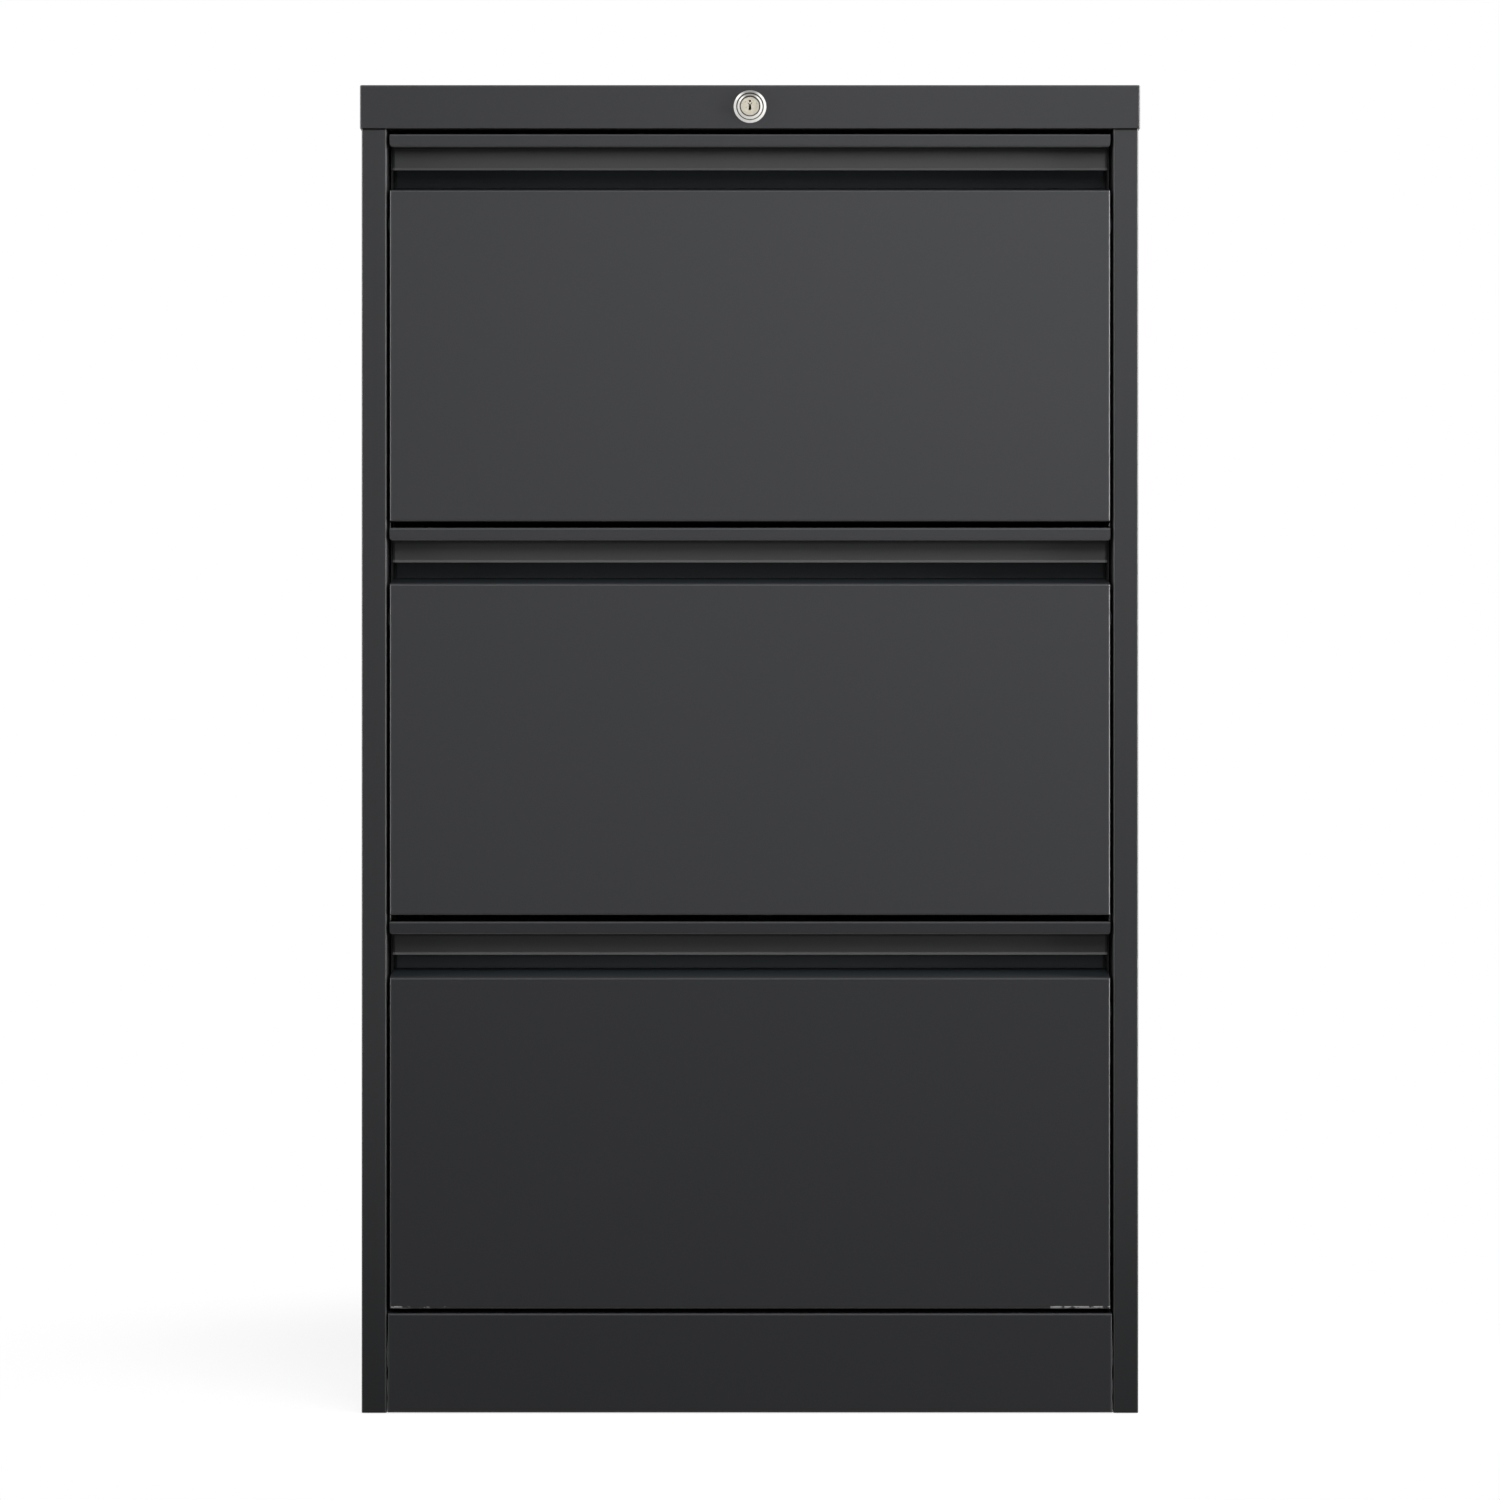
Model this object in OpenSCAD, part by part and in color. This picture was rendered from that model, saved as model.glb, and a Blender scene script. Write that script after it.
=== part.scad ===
// Three-drawer steel filing cabinet with full-width recessed pulls, ball-bearing
// runners and one lock that works a bar behind all the drawers.
// Millimetres. The origin is on the floor under the middle, +Z is up and the front faces -Y.

/* [Cabinet] */
// Width over the top cap
cabinet_w = 600; // [460:1:800]
// Depth over the top cap
cabinet_d = 400; // [330:1:560]
// Height from the floor to the top of the cap
cabinet_h = 1022; // [840:1:1300]
// Height of the cap's folded edge
cap_h = 33.3; // [31:0.1:45]
// How far the cap stands out past the body on each side
cap_overhang = 1.2; // [1:0.1:4]
// Width of the front posts
post_w = 19.3; // [18:0.1:30]
// Depth of the front posts
post_d = 24; // [16:1:27]
// Width of the folded rear flanges
rear_flange = 15; // [12:1:30]
// Height of the top of the base plinth above the floor
plinth_top = 77.2; // [66:0.1:120]

/* [Sheet metal] */
// Thickness of the body sheet
sheet_t = 0.8; // [0.6:0.1:1.2]
// Thickness of the drawer tray sheet
tray_t = 0.7; // [0.5:0.1:1]
// Thickness of the uprights
upright_t = 1; // [0.8:0.1:1.5]
// Bend radius at the middle of the sheet
bend_r = 1.2; // [0.9:0.1:2]
// Flat facets along one bend
bend_steps = 6; // [3:1:12]

/* [Drawers] */
// Gap between a drawer front and a post
side_gap = 2.4; // [1:0.05:4]
// Gap between two drawer fronts
drawer_gap = 4.9; // [3:0.1:8]
// Gap between the top drawer front and the cap
top_gap = 4.2; // [3:0.1:8]
// Gap between the bottom drawer front and the plinth
plinth_gap = 3.5; // [3:0.1:8]
// Distance from the top of a drawer's face down to the guide pips on its sides
pip_drop = 26.5; // [12:0.5:60]
// Length of a guide pip
pip_l = 12; // [6:0.5:20]
// Depth of a drawer front
front_depth = 32; // [29:1:45]
// Height of the tray floor above the drawer front's lower edge
tray_lift = 12; // [8:1:25]
// Width of the inward flange along the top of a tray side
tray_flange = 10; // [6:1:16]
// Distance from an end of the tray to the bar that folders hang on
hang_inset = 13; // [8:1:60]
// Height of a hanging bar below the tray flange
hang_drop = 12; // [8:1:20]
// Height of a hanging bar above the tray flange
hang_rise = 6; // [4:1:10]
// Thickness of a hanging bar
hang_t = 2; // [1.5:0.1:3]

/* [Pull] */
// Height of the lip along the top of a drawer front
lip_h = 10; // [8:0.5:14]
// Radius of the lip's lower corners
lip_r = 2.6; // [1:0.1:3]
// How far the grip flange lies behind the lip
pull_recess = 12.5; // [9:0.5:14]
// Height of the grip flange
flange_h = 16.5; // [12:0.5:22]
// Height of the bent-out edge along the bottom of the grip flange
kick_h = 2.2; // [1.6:0.1:4]
// How far that edge stands out in front of the grip flange
kick_out = 0.8; // [0.4:0.1:2]
// Height of the finger slot under the grip flange
slot_h = 17; // [15:0.5:24]
// How much the slot's floor climbs towards the back
slot_rise = 6; // [2:0.5:8]
// How far the grip flange stops short of the lip's ends
flange_inset = 1.2; // [1:0.1:4]

/* [Runners] */
// Thickness of a closed runner
slide_t = 12.7; // [12.7:0.1:14]
// Height of a runner
slide_h = 45; // [45:1:53]
// Thickness of the runner sheet
rail_t = 1.2; // [1:0.1:1.3]
// Height of a runner's middle above the tray floor
slide_lift = 80; // [40:1:120]
// Steel balls in one row of a cage
ball_count = 8; // [5:1:12]
// Length of a runner that stays engaged beyond half when it is fully open
rail_reserve = 10; // [10:1:40]

/* [Lock] */
// Height of the lock's middle below the top of the cap
lock_drop = 16.9; // [16.5:0.1:17.5]
// Diameter of the lock's outer ring
bezel_d = 25.1; // [24:0.1:27]
// Diameter of the lock's head inside the ring
head_d = 19.8; // [19.6:0.1:21]
// Diameter of the lock's barrel behind the panel
barrel_d = 19; // [17:0.1:19.2]
// Diameter of the turning plug
plug_d = 14.2; // [11:0.1:14.5]
// Diameter of the rod from the plug to the crank
rod_d = 6; // [5:0.1:7]
// Distance from the rod to the crank pin
crank_r = 10; // [8:0.5:10.5]
// Diameter of the crank pin
crank_pin_d = 5; // [4:0.1:5.5]
// Width of the bar that locks the drawers
bar_w = 22; // [20:1:26]
// Thickness of the bar that locks the drawers
bar_t = 3; // [2:0.5:4]
// Height of a drawer's catch above the drawer front's lower edge
catch_lift = 220; // [120:1:225]
// Length of the catch's tooth
tooth_h = 14; // [13:0.5:18]
// Width of the catch
catch_w = 18; // [12:1:24]
// Thickness of the catch and of the hooks that hold it
hook_t = 1.5; // [1.2:0.1:2]
// Free depth behind the drawers, where the bar works
rear_space = 19; // [18:0.5:30]

/* [Feet] */
// Height of the body's lower edge above the floor
foot_drop = 0.8; // [0.5:0.1:4]
// Diameter of a foot's pad
pad_d = 40; // [30:1:50]
// Height of a foot's pad
pad_h = 8; // [6:1:12]
// Diameter of a foot's stud
stud_d = 8; // [6:0.5:10]
// Distance from a foot's middle to the side of the body
foot_inset_x = 41; // [38:1:60]
// Distance from a foot's middle to the front or the back of the body
foot_inset_y = 51; // [50:1:80]
// Height of the bracket that a foot stops against
bracket_z = 22; // [20:1:30]

/* [Clearances] */
// Gap around pieces that only have to slip past each other
slip_gap = 0.3; // [0.2:0.05:0.6]
// Gap between an end of the plinth and a post
plinth_side_gap = 0.8; // [0.3:0.1:2]
// Radial gap of a shaft in its bore
bore_gap = 0.05; // [0.02:0.01:0.1]
// Gap on each side of the steel balls
ball_gap = 0.3; // [0.2:0.05:0.4]

/* [Hidden] */
$fn = 48;
steel_grey = "#3c3d3f";
inside_grey = "#37383a";
zinc = "#b4b8bb";
nickel = "#d5d4cf";
rubber_black = "#1a1a1b";
drawer_names = ["top", "middle", "bottom"];
drawers = [0 : len(drawer_names) - 1];
eps = 1;

// Planes of the body
front_y = -cabinet_d / 2 + cap_overhang;
back_y = cabinet_d / 2 - cap_overhang;
back_in = back_y - 2 * sheet_t;
body_x = cabinet_w / 2 - cap_overhang;
web_x = body_x - sheet_t;
post_x = body_x - post_w;
cap_bottom = cabinet_h - cap_h;
body_top = cabinet_h - sheet_t;
pan_z = plinth_top - sheet_t;
frame_flange = 15;
pan_flange = 18;
back_flange = 12;
post_return = 11;
cap_return = 9;

// Drawer stack
front_x = post_x - side_gap;
stack_z = plinth_top + plinth_gap;
front_h = (cap_bottom - top_gap - stack_z - (len(drawer_names) - 1) * drawer_gap) / len(drawer_names);
face_h = front_h - lip_h - flange_h - slot_h;
ledge_h = face_h + slot_rise;
flange_z = front_h - lip_h - flange_h;
weld_flange = 14;
inner_inset = 2;
inner_low = 3;
tab_w = 16;
tab_d = 18;
tab_end = 20;
back_fold = 12;
ear_inset = 2;
pip_h = side_gap / 2;
pip_w = 6;
pip_y = front_y + 6;
pip_taper = 0.7;
tray_h = face_h - tray_lift;
tray_back = back_in - rear_space;
tray_front = front_y + front_depth + tray_t;

// Runners
mount_x = post_x - 0.2;
tray_x = mount_x - slide_t;
rail_y = front_y + front_depth + 1;
rail_l = tray_back + 4 - rail_y;
travel = rail_l - rail_reserve;
cage_l = rail_l - travel / 2 - 10;
cage_y = rail_y + travel / 4 + 5;
cage_t = 0.6;
rail_bend = rail_t / 2 + 0.6;
middle_web = rail_t + 1.4;
race_h = 3.6;
outer_race = slide_h / 2 - rail_t - race_h / 2;
middle_flange = outer_race - race_h / 2 - rail_t / 2;
inner_race_h = 4;
inner_race = middle_flange - rail_t / 2 - inner_race_h / 2;
drawer_flange = inner_race - inner_race_h / 2 - rail_t / 2;
rail_reach = slide_t - 2.3;
rail_lip = 3;
middle_reach = slide_t - 2.1;
middle_lip = 2.5;
outer_cage_web = rail_t + 0.7;
outer_cage_reach = slide_t / 2 + 1.4;
outer_ball_u = slide_t / 2 - 0.4;
inner_cage_web = middle_web + rail_t + 1.1;
inner_cage_reach = slide_t / 2 + 3.3;
inner_ball_u = slide_t / 2 + 1.4;

// Uprights that carry the runners
upright_w = 35;
upright_foot = 10;
upright_top = cap_bottom;
upright_slot = [6, 14];
upright_pitch = 40;
upright_ys = [front_y + post_d + 2, back_in - rear_space - upright_w - 2 * upright_foot];

// Lock
lock_z = cabinet_h - lock_drop;
cap_front = -cabinet_d / 2;
barrel_l = 28;
bezel_h = 2.2;
head_h = 3.4;
head_crown = 0.7;
crown_steps = 8;
plug_l = 26;
plug_set = 0.6;
keyway_depth = 16;
keyhole_d = 1.7;
keyhole_z = 4;
ward_x = 1.7;
ward_z = 2.7;
key_top = 0.9;
key_low = -3;
key_top_w = 1.4;
key_low_w = 2.2;
nut_w = 24;
nut_h = 4;
crank_angle = 45;
crank_h = 6;
crank_arm = 3;
crank_back = back_in - 10;
lift = crank_r * sin(crank_angle) * 2;
pin_clear = 0.6;
bar_x = crank_r * (1 + cos(crank_angle)) / 2;
bar_y = back_in - slip_gap - bar_t;
bar_slot_z = lock_z - crank_r * sin(crank_angle);
bar_slot_h = crank_pin_d + 2 * pin_clear;
bar_slot_w = crank_r * (1 - cos(crank_angle)) + crank_pin_d + 2 * pin_clear;
bar_top = bar_slot_z + 6;
tooth_y = tray_back + 8;
hook_y = tray_back + 3.4;
hook_w = 12;
hook_foot = 14;
hook_top_gap = 4;
hook_rise = lift + 2;
guide_drop = 70;
guide_h = 20;
guide_t = 1;
guide_foot = 14;
bar_tail = 100;

// Feet
pad_bevel = 1.5;
bracket_t = 1.5;
bracket_w = 50;
bracket_rise = 28;
bracket_reach = 22;
bracket_lip = 10;
foot_hex = 13;
foot_hex_h = 6;
foot_collar_d = 12;
foot_nut_d = 16;
foot_nut_h = 8;
stud_top = bracket_z + 26;

// Screws that hold the back panel
screw_d = 4;
screw_head_d = 8;
screw_head_h = 2.2;
screws_per_side = 4;
screw_end = 110;

// Outlines of folded sheet

function polar(r, a) = [r * cos(a), r * sin(a)];
function heading(p, q) = atan2(q[1] - p[1], q[0] - p[0]);
function wrapped(a) = a > 180 ? a - 360 : a <= -180 ? a + 360 : a;
function backwards(list) = [for (i = [len(list) - 1 : -1 : 0]) list[i]];

// Points of a round corner at q, on the way from p to the next point s
function corner(p, q, s, r, offset = 0) =
    let (h = heading(p, q), a = wrapped(heading(q, s) - h), way = sign(a), reach = r * tan(abs(a) / 2),
         centre = q - polar(reach, h) + polar(way * r, h + 90))
    [for (k = [0 : bend_steps]) centre + polar(r - way * offset, h - way * 90 + a * k / bend_steps)];

// One face of a sheet that follows a path, offset to the left of it
function sheet_face(path, offset, r) =
    let (n = len(path))
    concat(
        [path[0] + polar(offset, heading(path[0], path[1]) + 90)],
        [for (i = [1 : n - 2]) each corner(path[i - 1], path[i], path[i + 1], r, offset)],
        [path[n - 1] + polar(offset, heading(path[n - 2], path[n - 1]) + 90)]);

// A closed outline, listed anticlockwise, with its own radius at each corner
function rounded(points, radii) =
    let (n = len(points))
    [for (i = [0 : n - 1]) each (radii[i] == 0
        ? [points[i]]
        : corner(points[(i + n - 1) % n], points[i], points[(i + 1) % n], radii[i]))];

// The same outline a distance inside
function inset(points, d) =
    let (n = len(points))
    [for (i = [0 : n - 1])
        let (before = polar(1, heading(points[(i + n - 1) % n], points[i]) + 90),
             after = polar(1, heading(points[i], points[(i + 1) % n]) + 90))
        points[i] + d * (before + after) / (1 + before * after)];

module folded(path, t, r = bend_r)
    polygon(concat(sheet_face(path, t / 2, r), backwards(sheet_face(path, -t / 2, r))));

// Extrusions of an outline drawn in Y and Z, in X and Z, or in X and Y
module along_x(x, l) translate([x, 0, 0]) rotate([90, 0, 90]) linear_extrude(l) children();
module along_y(y, l) translate([0, y + l, 0]) rotate([90, 0, 0]) linear_extrude(l) children();
module along_z(z, l) translate([0, 0, z]) linear_extrude(l) children();
module rod_y(y, l, d) translate([0, y + l, 0]) rotate([90, 0, 0]) cylinder(h = l, d = d);

// A front with a hollow back: the plan is in X and Y, the side outline in Y and Z
module hollow_front(half_w, side, side_radii, depth, t) {
    r = bend_r + t / 2;
    top = max([for (p = side) p[1]]);
    plan = [[-half_w, 0], [half_w, 0], [half_w, depth + eps + t], [-half_w, depth + eps + t]];
    inner_radii = [for (x = side_radii) max(x - t, 0)];
    difference() {
        intersection() {
            along_z(0, top) polygon(rounded(plan, [r, r, 0, 0]));
            along_x(-half_w, 2 * half_w) polygon(rounded(side, side_radii));
            translate([-half_w, 0, 0]) cube([2 * half_w, depth, top]);
        }
        intersection() {
            along_z(0, top) polygon(rounded(inset(plan, t), [r - t, r - t, 0, 0]));
            along_x(-half_w, 2 * half_w) polygon(rounded(inset(side, t), inner_radii));
        }
    }
}

// Body

module side_panel() color(steel_grey) {
    t = sheet_t;
    rear = body_x - rear_flange;
    difference() {
        union() {
            along_z(foot_drop, body_top - slip_gap - foot_drop) folded([
                [post_x + post_return, front_y + post_d - t / 2],
                [post_x + t / 2, front_y + post_d - t / 2],
                [post_x + t / 2, front_y + t / 2],
                [body_x - t / 2, front_y + t / 2],
                [body_x - t / 2, back_y - t / 2],
                [rear, back_y - t / 2]], t);
            for (z = [foot_drop, body_top - t])
                translate([web_x - frame_flange, front_y + post_d + 2, z])
                    cube([frame_flange + t / 2, back_y - rear_flange - front_y - post_d - 2, t]);
        }
        for (z = screw_heights) translate([screw_x, 0, z]) rod_y(back_y - 3, 6, screw_d + 0.2);
    }
}

module back_panel() color(steel_grey) difference() {
    y = back_in + sheet_t / 2;
    half = web_x - bend_r;
    along_x(-half, 2 * half) folded([
        [y - back_flange, body_top - sheet_t / 2],
        [y, body_top - sheet_t / 2],
        [y, foot_drop + sheet_t / 2],
        [y - back_flange, foot_drop + sheet_t / 2]], sheet_t);
    for (side = [-1, 1], z = screw_heights)
        translate([side * screw_x, 0, z]) rod_y(back_in - 2, 6, screw_d + 0.2);
}

module top_cap() color(steel_grey) {
    t = sheet_t;
    r = bend_r + t / 2;
    half = [cabinet_w / 2, cabinet_d / 2];
    return_x = post_x - slip_gap;
    difference() {
        union() {
            difference() {
                intersection() {
                    along_y(-half[1], cabinet_d) polygon(cap_outline(half[0], cabinet_h, r));
                    along_x(-half[0], cabinet_w) polygon(cap_outline(half[1], cabinet_h, r));
                    along_z(cap_bottom, cap_h) polygon(cap_plan(half, r));
                }
                intersection() {
                    along_y(-half[1] + t, cabinet_d - 2 * t)
                        polygon(cap_outline(half[0] - t, body_top, r - t, eps));
                    along_x(-half[0] + t, cabinet_w - 2 * t)
                        polygon(cap_outline(half[1] - t, body_top, r - t, eps));
                    along_z(cap_bottom - eps, cap_h + eps) polygon(cap_plan([half[0] - t, half[1] - t], r - t));
                }
            }
            translate([-return_x, -half[1] + t / 2, cap_bottom]) cube([2 * return_x, cap_return, t]);
        }
        translate([0, 0, lock_z]) rod_y(-half[1] - eps, 3, barrel_d + 0.2);
    }
}

function cap_outline(half, top, r, below = 0) =
    let (low = cap_bottom - below)
    rounded([[-half, low], [half, low], [half, top], [-half, top]], [0, 0, r, r]);

function cap_plan(half, r) = rounded([
    [-half[0], -half[1]], [half[0], -half[1]], [half[0], half[1]], [-half[0], half[1]]], [r, r, r, r]);

module bottom_pan() color(steel_grey) {
    t = sheet_t;
    x = web_x - t / 2;
    y = front_y + post_d + 2;
    along_y(y, back_in - y) folded([
        [-x, pan_z - pan_flange], [-x, pan_z - t / 2], [x, pan_z - t / 2], [x, pan_z - pan_flange]], t);
    for (edge = [y, back_in - t])
        translate([-web_x + 3, edge, pan_z - pan_flange]) cube([2 * (web_x - 3), t, pan_flange - t / 2]);
}

module base_plinth() color(steel_grey) {
    t = sheet_t;
    r = bend_r + t / 2;
    half = post_x - plinth_side_gap;
    depth = frame_flange;
    far = depth + eps + t;
    lap = post_d + post_return;
    height = plinth_top - foot_drop;
    translate([0, front_y, foot_drop]) {
        hollow_front(half, [[0, 0], [far, 0], [far, height], [0, height]], [r, 0, 0, r], depth, t);
        translate([-half, depth - eps, height - t]) cube([2 * half, lap - depth + eps, t]);
    }
}

module top_rail() color(steel_grey) difference() {
    t = sheet_t;
    half = post_x - slip_gap;
    reach = post_d + 1;
    along_x(-half, 2 * half) folded([
        [front_y + reach, body_top - t / 2],
        [front_y + t / 2, body_top - t / 2],
        [front_y + t / 2, cap_bottom + 2 + t / 2],
        [front_y + reach, cap_bottom + 2 + t / 2]], t);
    translate([0, 0, lock_z]) rod_y(front_y - eps, 4, barrel_d + 0.2);
}

// Hat-shaped posts with punched slots, for one side
module uprights() color(zinc) {
    t = upright_t;
    foot = web_x - t / 2;
    face = mount_x + t / 2;
    slots = floor((upright_top - pan_z - upright_pitch) / upright_pitch);
    slot_y = upright_foot + (upright_w - upright_slot[0]) / 2;
    for (y = upright_ys) difference() {
        along_z(pan_z, upright_top - pan_z) folded([
            [foot, y],
            [foot, y + upright_foot],
            [face, y + upright_foot],
            [face, y + upright_foot + upright_w],
            [foot, y + upright_foot + upright_w],
            [foot, y + 2 * upright_foot + upright_w]], t);
        for (k = [1 : slots])
            translate([face - t, y + slot_y, pan_z + k * upright_pitch])
                cube([2 * t, upright_slot[0], upright_slot[1]]);
    }
}

screw_x = body_x - rear_flange / 2 - sheet_t;
screw_heights = [for (k = [0 : screws_per_side - 1])
    foot_drop + screw_end + k * (body_top - foot_drop - 2 * screw_end) / (screws_per_side - 1)];

module carcass_screws() color(zinc)
    for (side = [-1, 1], z = screw_heights) translate([side * screw_x, 0, z]) {
        rod_y(back_in - 6, back_y - back_in + 6, screw_d);
        rod_y(back_y, screw_head_h, screw_head_d);
    }

// Feet

module at_feet(y_side, x_side) {
    y = y_side < 0 ? front_y + foot_inset_y : back_y - foot_inset_y;
    translate([x_side * (body_x - foot_inset_x), y, 0]) children();
}

module foot_brackets() color(zinc) {
    wall = foot_inset_x - sheet_t - bracket_t / 2;
    for (y_side = [-1, 1], x_side = [-1, 1]) difference() {
        union() {
            at_feet(y_side, x_side) mirror([x_side < 0 ? 1 : 0, 0, 0]) along_y(-bracket_w / 2, bracket_w)
                folded([
                    [wall, bracket_z + bracket_rise],
                    [wall, bracket_z + bracket_t / 2],
                    [-bracket_reach, bracket_z + bracket_t / 2],
                    [-bracket_reach, bracket_z + bracket_lip]], bracket_t, bracket_t);
            at_feet(y_side, x_side) translate([0, 0, bracket_z])
                cylinder(h = bracket_t + foot_nut_h, d = foot_nut_d);
        }
        at_feet(y_side, x_side) translate([0, 0, bracket_z - eps])
            cylinder(h = bracket_t + foot_nut_h + 2 * eps, d = stud_d + 2 * bore_gap);
    }
}

module foot(y_side, x_side) at_feet(y_side, x_side) {
    edge = pad_d / 2;
    color(rubber_black) rotate_extrude() polygon([
        [0, 0], [edge - pad_bevel, 0], [edge, pad_bevel],
        [edge, pad_h - 2 * pad_bevel], [edge - 3 * pad_bevel, pad_h], [0, pad_h]]);
    color(zinc) {
        translate([0, 0, pad_h]) cylinder(h = foot_hex_h, d = foot_hex / cos(30), $fn = 6);
        translate([0, 0, pad_h + foot_hex_h]) cylinder(h = bracket_z - pad_h - foot_hex_h, d = foot_collar_d);
        translate([0, 0, bracket_z - eps]) cylinder(h = stud_top - bracket_z + eps, d = stud_d);
    }
}

// Drawers

function drawer_z(n) = stack_z + (len(drawer_names) - 1 - n) * (front_h + drawer_gap);
function tray_z(n) = drawer_z(n) + tray_lift;
function slide_z(n) = tray_z(n) + slide_lift;
function ledge_z(y) = face_h + slot_rise * y / front_depth;

module drawer_front(n) color(steel_grey) {
    t = sheet_t;
    r = bend_r + t / 2;
    far = front_depth + eps + t;
    translate([0, front_y, drawer_z(n)]) {
        hollow_front(front_x, [[0, 0], [far, 0], [far, ledge_z(far)], [0, face_h]], [r, 0, 0, r],
            front_depth, t);
        translate([-front_x + t, front_depth - t, ledge_h - t]) cube([2 * (front_x - t), t, weld_flange + t]);
    }
    for (side = [-1, 1]) translate([side * (front_x - t / 2), pip_y, drawer_z(n) + face_h - pip_drop])
        rotate([0, side * 90, 0]) linear_extrude(t / 2 + pip_h, scale = pip_taper)
            square([pip_l, pip_w], center = true);
}

module drawer_pull(n) color(steel_grey) {
    t = sheet_t;
    wall = front_depth - 1.5 * t;
    top = front_h - t / 2;
    under = front_h - lip_h + t / 2;
    grip = pull_recess + t / 2;
    inner = front_x - flange_inset;
    cap = [[wall, top], [t / 2, top], [t / 2, under], [grip, under]];
    kick = [[grip, flange_z + kick_h], [grip - kick_out, flange_z + t / 4]];
    full = concat([[wall, ledge_h + slip_gap]], cap, kick);
    end_plate = [[grip, ledge_z(grip) + slip_gap], [front_depth - t, ledge_h + slip_gap],
        [front_depth - t, top], [grip, top]];
    translate([0, front_y, drawer_z(n)]) difference() {
        union() {
            along_x(-inner, 2 * inner) folded(full, t);
            along_x(-front_x, 2 * front_x) folded(cap, t);
            for (x = [-front_x, front_x - t]) along_x(x, t) polygon(end_plate);
        }
        for (side = [0, 1]) mirror([side, 0, 0]) along_y(-eps, pull_recess + eps) polygon(lip_corner());
    }
}

// What a round lower corner takes off the lip's right end
function lip_corner() =
    let (x = front_x, z = front_h - lip_h)
    concat([[x + eps, z - eps], [x + eps, z + lip_r]],
        [for (k = [bend_steps : -1 : 0]) [x - lip_r, z + lip_r] + polar(lip_r, -90 + 90 * k / bend_steps)],
        [[x - lip_r, z - eps]]);

module drawer_inner_front(n) color(inside_grey) {
    x = front_x - inner_inset;
    tab = tray_x - tray_t - slip_gap;
    lap = 1.5 * tray_t;
    translate([0, front_y + front_depth, drawer_z(n)]) {
        translate([-x, 0, inner_low]) cube([2 * x, tray_t, ledge_h + weld_flange - inner_inset - inner_low]);
        for (side = [0, 1]) mirror([side, 0, 0]) along_z(tray_lift + tab_end, tray_h - 2 * tab_end) folded([
            [tab - tab_w, lap], [tab - tray_t / 2, lap], [tab - tray_t / 2, tab_d]], tray_t);
    }
}

module drawer_tray(n) color(inside_grey) {
    t = tray_t;
    x = tray_x - t / 2;
    z = tray_z(n) + t / 2;
    top = tray_z(n) + tray_h - t / 2;
    along_y(tray_front, tray_back - tray_front) folded([
        [-x + tray_flange, top], [-x, top], [-x, z], [x, z], [x, top], [x - tray_flange, top]], t);
}

module drawer_back(n) color(inside_grey) {
    t = tray_t;
    x = tray_x - t;
    low = tray_z(n) + t;
    high = tray_z(n) + tray_h - t;
    cut = bend_r + t;
    along_y(tray_back - t, t) polygon([
        [-x + cut, low], [x - cut, low], [x, low + cut], [x, high - cut], [x - cut, high],
        [-x + cut, high], [-x, high - cut], [-x, low + cut]]);
    translate([-x + tray_flange, tray_back - back_fold, high - t])
        cube([2 * (x - tray_flange), back_fold - t / 2, t]);
}

module drawer_hang_bars(n) color(zinc) {
    z = tray_z(n) + tray_h;
    inner = tray_x - tray_flange - slip_gap - tray_t;
    ear = tray_x - ear_inset;
    for (y = [tray_front + hang_inset, tray_back - hang_inset]) along_y(y - hang_t / 2, hang_t) polygon([
        [-inner, z - hang_drop], [inner, z - hang_drop], [inner, z], [ear, z], [ear, z + hang_rise],
        [-ear, z + hang_rise], [-ear, z], [-inner, z]]);
}

// Runners. A runner's outline is drawn with U from the mounting plane towards the drawer.

module runner_pair(n, y, l) for (side = [0, 1]) mirror([side, 0, 0])
    translate([mount_x, 0, slide_z(n)]) mirror([1, 0, 0]) along_y(y, l) children();

// A channel that is open towards positive U, with lips turned in by drop
function channel(web, flange, reach, drop = 0) =
    concat(
        drop > 0 ? [[reach, flange - drop]] : [],
        [[reach, flange], [web, flange], [web, -flange], [reach, -flange]],
        drop > 0 ? [[reach, -flange + drop]] : []);

module cabinet_rails(n) color(zinc) runner_pair(n, rail_y, rail_l)
    folded(channel(rail_t / 2, slide_h / 2 - rail_t / 2, rail_reach, rail_lip), rail_t, rail_bend);

module middle_rails(n) color(zinc) runner_pair(n, rail_y, rail_l)
    folded(channel(middle_web + rail_t / 2, middle_flange, middle_reach, middle_lip), rail_t, rail_bend);

module drawer_rails(n) color(zinc) runner_pair(n, rail_y, rail_l)
    folded(channel(slide_t - rail_t / 2, drawer_flange, slide_t / 2), rail_t, rail_bend);

// A cage is a thin channel that holds a row of balls in each of its flanges
module ball_cages(n, web, race, reach, ball_u, ball_d) color(zinc) {
    runner_pair(n, cage_y, cage_l) folded(channel(web, race, reach), cage_t, cage_t);
    pitch = cage_l / ball_count;
    for (side = [-1, 1], row = [-1, 1], k = [0.5 : ball_count - 0.5])
        translate([side * (mount_x - ball_u), cage_y + k * pitch, slide_z(n) + row * race])
            sphere(d = ball_d);
}

module outer_ball_cages(n)
    ball_cages(n, outer_cage_web, outer_race, outer_cage_reach, outer_ball_u, race_h - 2 * ball_gap);

module inner_ball_cages(n)
    ball_cages(n, inner_cage_web, inner_race, inner_cage_reach, inner_ball_u, inner_race_h - 2 * ball_gap);

// Lock

module at_lock() translate([0, 0, lock_z]) children();

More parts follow.
